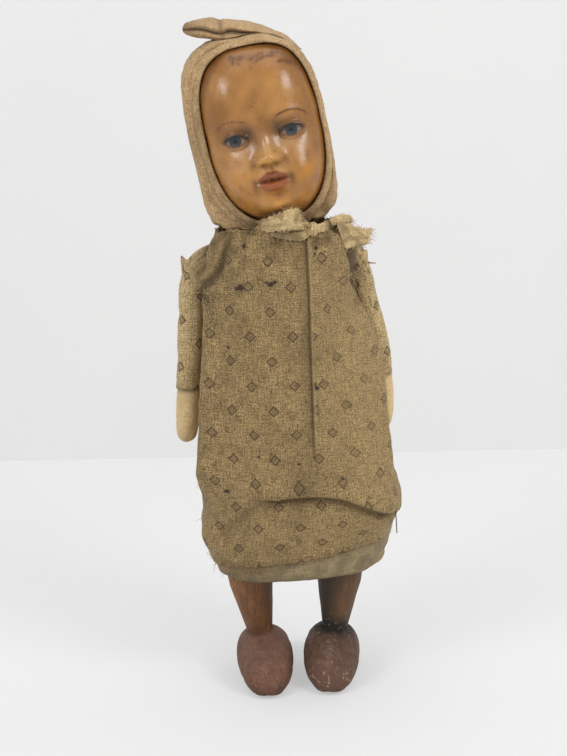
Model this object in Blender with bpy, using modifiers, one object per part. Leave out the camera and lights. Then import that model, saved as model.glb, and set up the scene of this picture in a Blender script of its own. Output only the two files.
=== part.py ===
"""Baby doll: a moulded face mask in a cloth hood, stuffed arms, a printed dress, wooden legs and shoes.

Metres, +Z up. The doll faces -Y, and its own left side is at +X.
The origin is on the floor, below the middle of the doll.
"""

import math

import bmesh
import bpy
from mathutils import Vector

MM = 0.001

# Clearances and walls
GAP = 0.3 * MM  # between pieces that touch, and round pins
CLOTH = 1.2 * MM  # cloth of the dress, petticoat and hood, with its lining

# Shoes
SHOE_LENGTH = 58 * MM
SHOE_WIDTH = 30 * MM
SHOE_HEIGHT = 26 * MM
SHOE_SPACING = 37 * MM  # between the two shoes' middles
SHOE_TOE_IN = math.radians(4)
SHOE_HEEL_BEHIND = 23 * MM  # from the ankle back to the heel
TOE_LIFT = 2.6 * MM
SOCKET_DEPTH = 9 * MM  # how far a leg goes into its shoe

# Legs and hip joint
ANKLE_SPACING = 40.8 * MM
ANKLE_RADIUS = 6.7 * MM
CALF_RADIUS = 11.3 * MM
THIGH_RADIUS = 12.5 * MM
CALF_ABOVE_ANKLE = 26 * MM
LEG_SPLAY = math.radians(7)
HIP_HEIGHT = 105 * MM
AXLE_RADIUS = 1.6 * MM
AXLE_HEAD_RADIUS = 3.0 * MM
AXLE_HEAD_THICKNESS = 1.4 * MM
WASHER_RADIUS = 5.5 * MM
WASHER_THICKNESS = 0.8 * MM
HIP_INNER_FLAT = 1.2 * MM  # depth of the flat on the leg's inner side
HIP_COUNTERBORE = 5.0 * MM  # depth of the seat in the leg's outer side
BLOCK_DEPTH = 28 * MM
BLOCK_BELOW_AXLE = 13 * MM
BLOCK_ABOVE_AXLE = 21 * MM
BLOCK_BEVEL = 1.5 * MM
LEG_SWING_ROOM = 1.5 * MM  # past the block's lower corners

# Stuffed torso and the peg that carries the head
TORSO_HEIGHT = 112 * MM
TORSO_WAIST_WIDTH = 64 * MM
TORSO_DEPTH = 54 * MM
SHOULDER_BELOW_TOP = 16 * MM
PEG_RADIUS = 5 * MM
PEG_SOCKET_DEPTH = 12 * MM
NECK_LENGTH = 17.5 * MM  # from the torso's top to the ball end of the peg
NECK_RADIUS = 14 * MM
NECK_PAD_HEIGHT = 8.4 * MM
NECK_Y = 2 * MM
NECK_X = -0.7 * MM
HEAD_TILT = math.radians(10.3)  # the head leans towards the doll's right
HEAD_TILT_ROOM = math.radians(11.5)

# Head: the face is measured from its own middle
CHIN_BELOW_PEG = 1.5 * MM  # from the peg's ball end down to the mask's lower edge
MASK_WIDTH = 60.4 * MM
MASK_HEIGHT = 86 * MM
MASK_DEPTH = 24 * MM
MASK_RIM_Y = -8 * MM
MASK_WALL = 1.5 * MM
FACE_SQUARENESS = 2.5
BAND_WIDTH = 6.4 * MM
BAND_THICKNESS = 3.6 * MM
BAND_SLOPE = 0.35  # how far the band falls back towards its outer edge
BAND_OUTSIDE_MASK = 1.7 * MM  # from the mask's rim to the middle of the band
BAND_Y = -18.6 * MM
BAND_STEPS = 40
HOOD_SIDE_ROOM = 5.1 * MM  # from the mask's rim out to the hood's outer face
HOOD_CROWN_ROOM = 3.2 * MM
HOOD_CHIN_ROOM = 5.5 * MM
HOOD_BACK_Y = 35.5 * MM
HOOD_NECK_RADIUS = 17 * MM
PEAK_LENGTH = 50 * MM
PEAK_DEPTH = 26 * MM
PEAK_THICKNESS = 8 * MM
PEAK_RISE = 14.5 * MM  # from where the peak leaves the hood up to its tip
PEAK_SUNK = 5 * MM  # how far below the crown it starts
PEAK_FORWARD = 2 * MM

# Dress and petticoat
HEM_HEIGHT = 73 * MM
NECKLINE_ABOVE_TORSO = 8.5 * MM
DRESS_HIP_EASE = 1.6 * MM  # from the legs' outer sides to the petticoat
DRESS_HEM_WIDTH = 89 * MM
DRESS_SHOULDER_WIDTH = 76.4 * MM
NECKLINE_WIDTH = 68.4 * MM
DRESS_HEM_DEPTH = 76 * MM
DRESS_HIP_DEPTH = 84 * MM
DRESS_CHEST_DEPTH = 74 * MM
NECKLINE_DEPTH = 58 * MM
SKIRT_SQUARENESS = 2.8
YOKE_SQUARENESS = 2.25
SIDE_BILLOW = 10 * MM  # how far the skirt stands out on the doll's left
PLEAT_ANGLE = math.radians(21)
PLEAT_STEP = 1.9 * MM
TUCK_SWELL = 3 * MM  # the slack fold above the hem
TUCK_ABOVE_HIP = 10 * MM
TUCK_SLANT = 9 * MM  # how much lower it lies at the side
TUCK_SPREAD = 7 * MM
HEM_LIFT = 4 * MM  # the dress's hem is drawn up at the doll's left front
PETTICOAT_EASE = 1.0 * MM
PETTICOAT_SHOWS = 7 * MM  # below the dress's hem
PETTICOAT_WAIST_ABOVE_BLOCK = 24 * MM
PETTICOAT_OVER_LEGS = 4 * MM  # from the legs' tops up to where it starts to draw in

# Arms and sleeves
SLEEVE_RADIUS = 7.1 * MM
SLEEVE_WALL = 0.9 * MM
SLEEVE_LENGTH = 60 * MM
CUFF_RADIUS = 6.2 * MM
ARM_LENGTH = 90 * MM
HAND_RADIUS = 5.6 * MM
ARM_LEAN = math.radians(3)
ARM_STANDOFF = 0.8 * MM  # between the sleeve and the side of the dress
HAND_STANDOFF = 1.2 * MM
RIGHT_ARM_Y = -1 * MM
LEFT_ARM_Y = 13 * MM
SHOULDER_SWING = math.radians(45)  # an arm lifts half forward, half out
THREAD_RADIUS = 1.0 * MM
THREAD_IN_TORSO = 8 * MM
ARMHOLE_RADIUS = 4 * MM
SHOULDER_WING = 8 * MM  # how far the dress reaches out over the top of a sleeve
WING_EDGE = 2.6 * MM
WING_ABOVE_SLEEVE = 0.6 * MM

# Bow at the neckline
KNOT_RADIUS = 3.6 * MM
KNOT_ANGLE = math.radians(17)  # round the neckline, from the front to the doll's left
KNOT_STANDOFF = 3.0 * MM
RIGHT_LOOP_LENGTH = 27 * MM
LEFT_LOOP_LENGTH = 29 * MM
LOOP_HEIGHT = 11 * MM
LOOP_THICKNESS = 6.5 * MM

# Places that follow from the sizes above
ANKLE_X = ANKLE_SPACING / 2
HIP_X = ANKLE_X + (HIP_HEIGHT - SHOE_HEIGHT) * math.tan(LEG_SPLAY)
HIP_FLAT_X = HIP_X - THIGH_RADIUS + HIP_INNER_FLAT
HIP_SEAT_X = HIP_X + THIGH_RADIUS - HIP_COUNTERBORE
INNER_WASHER_X = HIP_FLAT_X - GAP - WASHER_THICKNESS / 2
OUTER_WASHER_X = HIP_SEAT_X + GAP + WASHER_THICKNESS / 2
AXLE_HEAD_X = HIP_SEAT_X + 2 * GAP + WASHER_THICKNESS
BLOCK_HALF_WIDTH = HIP_FLAT_X - 2 * GAP - WASHER_THICKNESS
BLOCK_TOP = HIP_HEIGHT + BLOCK_ABOVE_AXLE
TORSO_BOTTOM = BLOCK_TOP + GAP
TORSO_TOP = TORSO_BOTTOM + TORSO_HEIGHT
SHOULDER_HEIGHT = TORSO_TOP - SHOULDER_BELOW_TOP
NECK_POINT = Vector((NECK_X, NECK_Y, TORSO_TOP + NECK_LENGTH))
NECKLINE_HEIGHT = TORSO_TOP + NECKLINE_ABOVE_TORSO
DRESS_SHOULDER_HALF = DRESS_SHOULDER_WIDTH / 2
SHOULDER_X = DRESS_SHOULDER_HALF + ARM_STANDOFF + SLEEVE_RADIUS
HAND_LEVEL = SHOULDER_HEIGHT - ARM_LENGTH
WING_HEIGHT = SHOULDER_HEIGHT + SLEEVE_RADIUS + WING_ABOVE_SLEEVE
DRESS_HAND_HALF = SHOULDER_X + ARM_LENGTH * math.tan(ARM_LEAN) - HAND_RADIUS - HAND_STANDOFF
PETTICOAT_HIP_HALF = HIP_X + THIGH_RADIUS + DRESS_HIP_EASE + CLOTH
DRESS_HIP_HALF = PETTICOAT_HIP_HALF + PETTICOAT_EASE + CLOTH
WAIST_HEIGHT = BLOCK_TOP + PETTICOAT_WAIST_ABOVE_BLOCK
MASK_HALF_WIDTH = MASK_WIDTH / 2
HOOD_FRONT_Y = BAND_Y + math.hypot(BAND_THICKNESS / 2, BAND_SLOPE * BAND_WIDTH / 2) + GAP
MASK_HALF_HEIGHT = MASK_HEIGHT / 2
FACE_UNIT = MASK_HEIGHT / 86  # the features grow with the face
FACE_MIDDLE = MASK_HALF_HEIGHT - CHIN_BELOW_PEG
HOOD_WIDTH = MASK_WIDTH + 2 * HOOD_SIDE_ROOM
HOOD_RISE = MASK_HALF_HEIGHT + HOOD_CROWN_ROOM
HOOD_DROP = MASK_HALF_HEIGHT + HOOD_CHIN_ROOM

parts = None
cutters = None


# Scene and object helpers


def clear_scene():
    for obj in list(bpy.data.objects):
        bpy.data.objects.remove(obj, do_unlink=True)


def make_collections():
    global parts, cutters
    parts = bpy.data.collections.new("baby_doll")
    cutters = bpy.data.collections.new("cutters")
    for collection in (parts, cutters):
        bpy.context.scene.collection.children.link(collection)


def make_material(name, colour, roughness, metallic=0.0):
    made = bpy.data.materials.new(name)
    made.use_nodes = True
    shader = made.node_tree.nodes["Principled BSDF"]
    shader.inputs["Base Color"].default_value = (*colour, 1.0)
    shader.inputs["Roughness"].default_value = roughness
    shader.inputs["Metallic"].default_value = metallic
    return made


def make_empty(name, location, rotation=(0.0, 0.0, 0.0)):
    empty = bpy.data.objects.new(name, None)
    empty.location = location
    empty.rotation_euler = rotation
    parts.objects.link(empty)
    return empty


def place(obj, material, parent=None):
    """Gives a finished object its material and its parent, and makes it one of the parts."""
    obj.data.materials.append(material)
    obj.parent = parent
    parts.objects.link(obj)
    return obj


def mesh_object(name, bm, smooth_angle=40):
    bmesh.ops.recalc_face_normals(bm, faces=bm.faces)
    mesh = bpy.data.meshes.new(name)
    bm.to_mesh(mesh)
    bm.free()
    mesh.shade_smooth()
    mesh.set_sharp_from_angle(angle=math.radians(smooth_angle))
    return bpy.data.objects.new(name, mesh)


def as_cutter(obj, parent=None):
    obj.parent = parent
    obj.hide_render = True
    obj.display_type = "WIRE"
    cutters.objects.link(obj)
    return obj


def cut(obj, cutter):
    modifier = obj.modifiers.new(f"cut by {cutter.name}", "BOOLEAN")
    modifier.operation = "DIFFERENCE"
    modifier.object = cutter


def cylinder(name, radius, start, end, segments=24):
    """A cylinder between two points."""
    start, end = Vector(start), Vector(end)
    bm = bmesh.new()
    bmesh.ops.create_cone(
        bm, cap_ends=True, segments=segments, radius1=radius, radius2=radius, depth=(end - start).length
    )
    obj = mesh_object(name, bm)
    obj.rotation_mode = "QUATERNION"
    obj.rotation_quaternion = (end - start).to_track_quat("Z", "Y")
    obj.location = (start + end) / 2
    return obj


def box(name, low, high):
    """A box between its lowest and highest corners."""
    low, high = Vector(low), Vector(high)
    bm = bmesh.new()
    bmesh.ops.create_cube(bm, size=1.0)
    bmesh.ops.scale(bm, vec=high - low, verts=bm.verts)
    bmesh.ops.translate(bm, vec=(low + high) / 2, verts=bm.verts)
    return mesh_object(name, bm, smooth_angle=20)


def turned(name, profile, steps=24, closed=False):
    """A turned shape: the profile's (radius, height) points run down its outer side."""
    mesh = bpy.data.meshes.new(name)
    edges = [(i, i + 1) for i in range(len(profile) - 1)]
    if closed:
        edges.append((len(profile) - 1, 0))
    mesh.from_pydata([(radius, 0.0, height) for radius, height in profile], edges, [])
    obj = bpy.data.objects.new(name, mesh)
    screw = obj.modifiers.new("turned", "SCREW")
    screw.steps = steps
    screw.render_steps = steps
    screw.use_merge_vertices = True
    screw.merge_threshold = 0.00001
    screw.use_smooth_shade = True
    return obj


def loft(name, rings, cap_first=False, cap_last=False, endless=False):
    """A skin over rings of points, which run anticlockwise about the way they follow each other.

    A ring of one point is a pole. An endless skin goes on from its last ring to its first.
    """
    bm = bmesh.new()
    rows = [[bm.verts.new(point) for point in ring] for ring in rings]
    followers = rows[1:] + rows[:1] if endless else rows[1:]
    for low, high in zip(rows, followers):
        count = max(len(low), len(high))
        for i in range(count):
            j = (i + 1) % count
            corners = [low[i % len(low)], low[j % len(low)], high[j % len(high)], high[i % len(high)]]
            bm.faces.new(list(dict.fromkeys(corners)))
    if cap_first:
        bm.faces.new(rows[0][::-1])
    if cap_last:
        bm.faces.new(rows[-1])
    if not any(edge.is_boundary for edge in bm.edges):
        bmesh.ops.recalc_face_normals(bm, faces=bm.faces)
    mesh = bpy.data.meshes.new(name)
    bm.to_mesh(mesh)
    bm.free()
    mesh.shade_smooth()
    return bpy.data.objects.new(name, mesh)


def solidify(obj, thickness):
    """Gives an open skin its wall, on the inner side."""
    modifier = obj.modifiers.new("wall", "SOLIDIFY")
    modifier.thickness = thickness
    modifier.offset = -1


# Shape helpers


def power(value, squareness):
    return math.copysign(abs(value) ** (2 / squareness), value)


def bump(distance, spread):
    return math.exp(-((distance / spread) ** 2))


def between(stations, height):
    """Reads a list of (height, value), lowest first, with a straight line from one station to the next."""
    if height <= stations[0][0]:
        return stations[0][1]
    for (low, first), (high, second) in zip(stations, stations[1:]):
        if height <= high:
            share = (height - low) / (high - low)
            return first + (second - first) * share
    return stations[-1][1]


def angle_from(first, second):
    """The signed angle from second to first, from minus half a turn to half a turn."""
    return (first - second + math.pi) % (2 * math.pi) - math.pi


# Wooden shoes and legs


def shoe_ring(along, points=20):
    """A cross-section of a shoe, from 0 at the heel to 1 at the toe, with a flat sole."""
    from_middle = 2 * along - 1
    bluntness = 2.3
    bulge = max(0.0, 1 - abs(from_middle) ** bluntness) ** (1 / bluntness)
    half_width = SHOE_WIDTH / 2 * bulge
    instep = SHOE_HEIGHT * bulge ** 0.8 * (1.0 - 0.42 * max(0.0, along - 0.42))
    toe_lift = TOE_LIFT * max(0.0, (along - 0.8) / 0.2) ** 2
    y = SHOE_HEEL_BEHIND - along * SHOE_LENGTH
    ring = []
    for i in range(points):
        angle = 2 * math.pi * i / points
        x = half_width * power(math.sin(angle), 2.3)
        rise = 0.5 - 0.5 * power(math.cos(angle), 2.3)
        height = toe_lift + (instep - toe_lift) * max(0.0, (rise - 0.1) / 0.9)
        ring.append((-x, y, height))
    return ring


def make_shoe(side, sign, material):
    name = f"{side}_shoe"
    middle = make_empty(f"{side}_shoe_place", (sign * SHOE_SPACING / 2, 0, 0), (0, 0, -sign * SHOE_TOE_IN))
    steps = [0.008, 0.04, 0.11, 0.22, 0.34, 0.46, 0.58, 0.7, 0.81, 0.9, 0.965, 0.994]
    rings = [shoe_ring(along) for along in steps]
    shoe = loft(name, rings, cap_first=True, cap_last=True)
    socket_bottom = leg_point(sign, SHOE_HEIGHT - SOCKET_DEPTH - GAP)
    socket_top = leg_point(sign, SHOE_HEIGHT * 2)
    socket = cylinder(f"{side}_shoe_socket", ANKLE_RADIUS + GAP, socket_bottom, socket_top)
    cut(shoe, as_cutter(socket))
    return place(shoe, material, middle)


def leg_point(sign, height):
    """A point of a leg's axis at a height above the floor."""
    return Vector((sign * (ANKLE_X + (height - SHOE_HEIGHT) * math.tan(LEG_SPLAY)), 0, height))


def make_leg(side, sign, hip, material):
    along = 1 / math.cos(LEG_SPLAY)
    ankle = -(HIP_HEIGHT - SHOE_HEIGHT) * along
    foot = ankle - SOCKET_DEPTH
    calf = ankle + CALF_ABOVE_ANKLE * along
    profile = [
        (0, THIGH_RADIUS),
        (0.45 * THIGH_RADIUS, 0.92 * THIGH_RADIUS),
        (0.8 * THIGH_RADIUS, 0.62 * THIGH_RADIUS),
        (THIGH_RADIUS, 0),
        (THIGH_RADIUS, 0.5 * calf),
        (CALF_RADIUS, calf),
        ((CALF_RADIUS + ANKLE_RADIUS) / 2, (calf + ankle) / 2),
        (ANKLE_RADIUS, ankle),
        (ANKLE_RADIUS, foot),
        (0, foot),
    ]
    leg = turned(f"{side}_leg", profile)
    reach = 2 * THIGH_RADIUS
    bore_end = (sign * 2 * HIP_X, 0, HIP_HEIGHT)
    bore = cylinder(f"{side}_hip_bore", AXLE_RADIUS + GAP, (0, 0, HIP_HEIGHT), bore_end, 16)
    flat_edges = sorted((sign * HIP_FLAT_X, sign * (HIP_FLAT_X - reach)))
    swing_room = math.hypot(BLOCK_DEPTH / 2, BLOCK_BELOW_AXLE) + LEG_SWING_ROOM
    flat = box(f"{side}_hip_flat", (flat_edges[0], -reach, HIP_HEIGHT - swing_room),
               (flat_edges[1], reach, HIP_HEIGHT + reach))
    seat = cylinder(f"{side}_hip_seat", WASHER_RADIUS + 2 * GAP, (sign * HIP_SEAT_X, 0, HIP_HEIGHT),
                    (sign * (HIP_SEAT_X + reach), 0, HIP_HEIGHT))
    for cutter in (bore, flat, seat):
        cut(leg, as_cutter(cutter))
    return place(leg, material, hip)


def make_hip_washers(side, sign, material):
    half = WASHER_THICKNESS / 2
    hole = AXLE_RADIUS + GAP
    profile = [(WASHER_RADIUS, half), (WASHER_RADIUS, -half), (hole, -half), (hole, half)]
    for where, x in (("inner", INNER_WASHER_X), ("outer", OUTER_WASHER_X)):
        washer = turned(f"{side}_{where}_hip_washer", profile, steps=16, closed=True)
        washer.location = (sign * x, 0, HIP_HEIGHT)
        washer.rotation_euler = (0, math.pi / 2, 0)
        place(washer, material)


def make_hip_axle(material):
    """A wire through the block and both legs, with a head hammered on each end."""
    end = AXLE_HEAD_X + AXLE_HEAD_THICKNESS
    upper = [
        (0, end),
        (0.7 * AXLE_HEAD_RADIUS, end - 0.3 * AXLE_HEAD_THICKNESS),
        (AXLE_HEAD_RADIUS, AXLE_HEAD_X),
        (AXLE_RADIUS, AXLE_HEAD_X),
    ]
    lower = [(radius, -height) for radius, height in reversed(upper)]
    axle = turned("hip_axle", upper + lower, steps=16)
    axle.location = (0, 0, HIP_HEIGHT)
    axle.rotation_euler = (0, math.pi / 2, 0)
    place(axle, material)


def make_hip_block(material):
    bottom = HIP_HEIGHT - BLOCK_BELOW_AXLE
    half_depth = BLOCK_DEPTH / 2
    low, high = (-BLOCK_HALF_WIDTH, -half_depth, bottom), (BLOCK_HALF_WIDTH, half_depth, BLOCK_TOP)
    block = box("hip_block", low, high)
    bevel = block.modifiers.new("rounded edges", "BEVEL")
    bevel.width = BLOCK_BEVEL
    bevel.segments = 2
    hip_left, hip_right = (HIP_X, 0, HIP_HEIGHT), (-HIP_X, 0, HIP_HEIGHT)
    bore = cylinder("block_axle_bore", AXLE_RADIUS + GAP, hip_right, hip_left, 16)
    socket = cylinder("block_peg_socket", PEG_RADIUS + GAP, (NECK_X, NECK_Y, BLOCK_TOP - PEG_SOCKET_DEPTH),
                      (NECK_X, NECK_Y, BLOCK_TOP + PEG_SOCKET_DEPTH))
    cut(block, as_cutter(bore))
    cut(block, as_cutter(socket))
    place(block, material)


# Stuffed torso, neck peg and neck


def oval(half_width, half_depth, height, angles):
    """A ring at a height, anticlockwise from above. Its angles are taken from the front."""
    return [Vector((half_width * math.sin(a), -half_depth * math.cos(a), height)) for a in angles]


def torso_half_width(height):
    waist = TORSO_WAIST_WIDTH / 2
    shoulder = DRESS_SHOULDER_HALF - CLOTH - 2 * GAP
    stations = [
        (TORSO_BOTTOM, 0.6 * waist),
        (TORSO_BOTTOM + 0.06 * TORSO_HEIGHT, 0.88 * waist),
        (TORSO_BOTTOM + 0.2 * TORSO_HEIGHT, waist),
        (TORSO_BOTTOM + 0.55 * TORSO_HEIGHT, waist),
        (SHOULDER_HEIGHT, shoulder),
        (SHOULDER_HEIGHT + 0.4 * SHOULDER_BELOW_TOP, 0.98 * shoulder),
        (SHOULDER_HEIGHT + 0.8 * SHOULDER_BELOW_TOP, 0.86 * shoulder),
        (TORSO_TOP, 0.7 * shoulder),
    ]
    return between(stations, height)


def torso_half_depth(height):
    full = TORSO_DEPTH / 2
    stations = [
        (TORSO_BOTTOM, 0.6 * full),
        (TORSO_BOTTOM + 0.06 * TORSO_HEIGHT, 0.88 * full),
        (TORSO_BOTTOM + 0.2 * TORSO_HEIGHT, full),
        (SHOULDER_HEIGHT - 0.5 * SHOULDER_BELOW_TOP, full),
        (SHOULDER_HEIGHT + 0.4 * SHOULDER_BELOW_TOP, 0.92 * full),
        (TORSO_TOP, 0.7 * full),
    ]
    return between(stations, height)


def make_torso(material):
    shares = [0, 0.03, 0.08, 0.2, 0.38, 0.56, 0.72, 0.82, 0.88, 0.93, 0.97, 1]
    heights = [TORSO_BOTTOM + share * TORSO_HEIGHT for share in shares]
    angles = [2 * math.pi * i / 32 for i in range(32)]
    rings = [oval(torso_half_width(z), torso_half_depth(z), z, angles) for z in heights]
    torso = loft("stuffed_torso", rings, cap_first=True, cap_last=True)
    bore = cylinder("torso_peg_bore", PEG_RADIUS + GAP, (NECK_X, NECK_Y, BLOCK_TOP - GAP),
                    (NECK_X, NECK_Y, TORSO_TOP + SHOULDER_BELOW_TOP))
    cut(torso, as_cutter(bore))
    for side, sign in SIDES:
        start, end = thread_ends(sign)
        beyond = end + (end - start)
        thread_bore = cylinder(f"torso_{side}_thread_bore", THREAD_RADIUS + GAP, start, beyond, 12)
        cut(torso, as_cutter(thread_bore))
    place(torso, material)


def make_neck_peg(material):
    foot = BLOCK_TOP - PEG_SOCKET_DEPTH + GAP - NECK_POINT.z
    dome = [(PEG_RADIUS * math.sin(a), PEG_RADIUS * math.cos(a)) for a in (0.0, 0.5, 1.0, math.pi / 2)]
    peg = turned("neck_peg", dome + [(PEG_RADIUS, foot), (0, foot)], steps=20)
    peg.location = NECK_POINT
    place(peg, material)


def make_neck(pivot, material):
    """The padded cloth neck: a ring round the peg, wide enough inside for the head to lean."""
    top = FACE_MIDDLE - HOOD_DROP + CLOTH - GAP
    bottom = top - NECK_PAD_HEIGHT
    hole = PEG_RADIUS / math.cos(HEAD_TILT_ROOM) + math.tan(HEAD_TILT_ROOM) * -bottom + GAP
    swell = 0.06 * NECK_RADIUS
    profile = [
        (NECK_RADIUS - swell, top),
        (NECK_RADIUS, (top + bottom) / 2),
        (NECK_RADIUS - swell, bottom),
        (hole, bottom),
        (hole, top),
    ]
    place(turned("neck_padding", profile, steps=24, closed=True), material, pivot)


# Head


def face_outline(angle, half_width, half_height):
    """A point of the face's outline: a rounded oblong, from the top towards the doll's left."""
    across = power(math.sin(angle), FACE_SQUARENESS)
    up = power(math.cos(angle), FACE_SQUARENESS)
    return half_width * across, half_height * up


def face_relief(x, z):
    """How far the features stand out of the mask's dome. z is from the eyes' level."""
    x, z = x / FACE_UNIT, z / FACE_UNIT
    side = abs(x)
    relief = 1.0 * bump(math.hypot(side - 14, z - 24), 13)
    relief -= 2.3 * bump(math.hypot((side - 14.5) / 1.5, z), 6)
    relief += 1.7 * bump(math.hypot((side - 14.9) / 1.5, z), 4)
    relief += 2.6 * bump(math.hypot(side - 17.5, z + 16), 11)
    bridge = bump(side, 3.2 + 0.16 * max(0.0, -z))
    rise = max(0.0, min(1.0, (4 - z) / 14))
    under = 1 / (1 + math.exp(-(z + 13) / 0.8))
    relief += (0.6 + 5.4 * rise ** 1.6) * bridge * under * bump(max(0.0, z - 2), 9)
    relief += 2.0 * bump(math.hypot(side - 4.6, z + 11.4), 2.6)
    relief += 1.6 * bump(math.hypot(x / 1.5, z + 22), 8)
    relief += 1.3 * bump(math.hypot(x / 3.4, z + 20.4), 1.9)
    relief += 1.6 * bump(math.hypot(x / 2.8, z + 26.2), 2.2)
    relief -= 1.5 * bump(math.hypot(x / 5, z + 23), 1.2)
    relief += 2.2 * bump(math.hypot(x / 1.4, z + 36), 6)
    return relief * FACE_UNIT


def mask_dome(radius):
    """The mask's front at a share of the way from its middle to its rim."""
    return MASK_RIM_Y - MASK_DEPTH * math.sqrt(max(0.0, 1 - radius ** 2.2))


def make_face_mask(pivot, material):
    bm = bmesh.new()
    bmesh.ops.create_grid(bm, x_segments=20, y_segments=26, size=1.0)
    for vert in bm.verts:
        u, v = vert.co.x, vert.co.y
        across, up = u * math.sqrt(1 - v * v / 2), v * math.sqrt(1 - u * u / 2)
        radius = min(1.0, math.hypot(across, up))
        edge_x, edge_z = face_outline(math.atan2(across, up), MASK_HALF_WIDTH, MASK_HALF_HEIGHT)
        x, z = radius * edge_x, radius * edge_z
        fade = 1 - radius ** 8
        vert.co = (x, mask_dome(radius) - fade * face_relief(x, z), FACE_MIDDLE + z)
    mask = mesh_object("face_mask", bm)
    facing = mask.data.polygons[0].normal.y < 0
    if not facing:
        mask.data.flip_normals()
    solidify(mask, MASK_WALL)
    return place(mask, material, pivot)


def hood_ring(y, half_width, rise, drop, points=36):
    """A cross-section of the hood, round above and squarer below, anticlockwise about +Y."""
    ring = []
    for i in range(points):
        angle = 2 * math.pi * i / points
        across, up = math.sin(angle), math.cos(angle)
        squareness = 2.4 if up > 0 else 4.6
        reach = rise if up > 0 else drop
        ring.append((half_width * power(across, squareness), y, FACE_MIDDLE + reach * power(up, squareness)))
    return ring


def hood_rings(inset, first_y=None):
    """The hood's cross-sections from the front edge to the back, set in from its outer face."""
    half, rise, drop = HOOD_WIDTH / 2, HOOD_RISE, HOOD_DROP
    front = HOOD_FRONT_Y if first_y is None else first_y
    back = HOOD_BACK_Y - inset
    shape = [
        (front, 0.94, 0.985, 0.94),
        (0.6 * front, 0.98, 1.0, 0.975),
        (0.0, 1.0, 1.0, 1.0),
        (0.3 * back, 0.99, 0.98, 1.0),
        (0.58 * back, 0.91, 0.9, 0.93),
        (0.8 * back, 0.74, 0.75, 0.76),
        (0.94 * back, 0.44, 0.47, 0.48),
    ]
    rings = [hood_ring(y, w * half - inset, r * rise - inset, d * drop - inset) for y, w, r, d in shape]
    return rings + [[(0, back, FACE_MIDDLE)]]


def make_hood(pivot, material):
    hood = loft("hood", hood_rings(0.0))
    solidify(hood, CLOTH)
    hole_top = (0, 0, FACE_MIDDLE - 0.6 * HOOD_DROP)
    neck = cylinder("hood_neck_hole", HOOD_NECK_RADIUS, (0, 0, -HOOD_DROP), hole_top)
    cut(hood, as_cutter(neck, pivot))
    return place(hood, material, pivot)


def make_head_stuffing(pivot, material):
    """The stuffed head: it fills the mask and the hood, and stands on the peg's ball end."""
    inside = 0.94
    dome_depth = 0.78 * MASK_DEPTH
    seat_y = MASK_RIM_Y + 2 * GAP
    rings = [[(0, seat_y - dome_depth, FACE_MIDDLE)]]
    for share in (0.35, 0.6, 0.8, 0.93, 1.0):
        y = seat_y - dome_depth * math.sqrt(1 - share ** 2.2)
        half_width, half_height = share * inside * MASK_HALF_WIDTH, share * inside * MASK_HALF_HEIGHT
        ring = []
        for i in range(36):
            x, z = face_outline(2 * math.pi * i / 36, half_width, half_height)
            ring.append((x, y, FACE_MIDDLE + z))
        rings.append(ring)
    rings += hood_rings(CLOTH + 2 * GAP, first_y=seat_y)
    stuffing = loft("head_stuffing", rings)
    socket_radius = PEG_RADIUS / math.cos(HEAD_TILT_ROOM) + math.tan(HEAD_TILT_ROOM) * PEG_RADIUS + GAP
    socket = cylinder("head_peg_socket", socket_radius, (0, 0, -HOOD_DROP), (0, 0, PEG_RADIUS + GAP))
    cut(stuffing, as_cutter(socket, pivot))
    return place(stuffing, material, pivot)


def make_hood_band(pivot, material):
    """The folded edge of the hood, which frames the face."""
    rings = []
    for i in range(BAND_STEPS):
        angle = 2 * math.pi * i / BAND_STEPS
        ring = []
        for j in range(8):
            turn = 2 * math.pi * j / 8
            out = BAND_OUTSIDE_MASK + BAND_WIDTH / 2 * math.cos(turn)
            x, z = face_outline(angle, MASK_HALF_WIDTH + out, MASK_HALF_HEIGHT + out)
            y = BAND_Y + BAND_THICKNESS / 2 * math.sin(turn) + BAND_SLOPE * BAND_WIDTH / 2 * math.cos(turn)
            ring.append((x, y, FACE_MIDDLE + z))
        rings.append(ring)
    return place(loft("hood_front_band", rings, endless=True), material, pivot)


def make_hood_peak(pivot, material):
    """The hood's pointed tip, flattened and fallen over to the doll's right."""
    start = Vector((0.43 * PEAK_LENGTH, 0, FACE_MIDDLE + HOOD_RISE - PEAK_SUNK))
    stations = [(0.0, 0.1, 0.3), (0.06, 0.55, 0.7), (0.25, 0.95, 0.95), (0.5, 1.0, 1.0), (0.75, 0.72, 0.85),
                (0.92, 0.36, 0.6), (1.0, 0.1, 0.25)]
    rings = []
    for along, depth, thickness in stations:
        rise = PEAK_RISE * math.sin(1.7 * along) ** 0.9
        middle = start + Vector((-along * PEAK_LENGTH, -along * PEAK_FORWARD, rise))
        ring = []
        for i in range(16):
            angle = 2 * math.pi * i / 16
            out = depth * PEAK_DEPTH / 2 * math.sin(angle)
            up = thickness * PEAK_THICKNESS / 2 * math.cos(angle)
            ring.append(middle + Vector((0, out, up)))
        rings.append(ring)
    peak = loft("hood_peak", rings, cap_first=True, cap_last=True)
    envelope = loft("hood_envelope", hood_rings(-GAP), cap_first=True)
    cut(peak, as_cutter(envelope, pivot))
    return place(peak, material, pivot)


# Arms


def arm_axis(sign):
    """The hinge axis of an arm: turning about it lifts the arm forward and out."""
    return Vector((-math.sin(SHOULDER_SWING), -sign * math.cos(SHOULDER_SWING), 0))


def shoulder_point(sign):
    return Vector((sign * SHOULDER_X, LEFT_ARM_Y if sign > 0 else RIGHT_ARM_Y, SHOULDER_HEIGHT))


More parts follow.
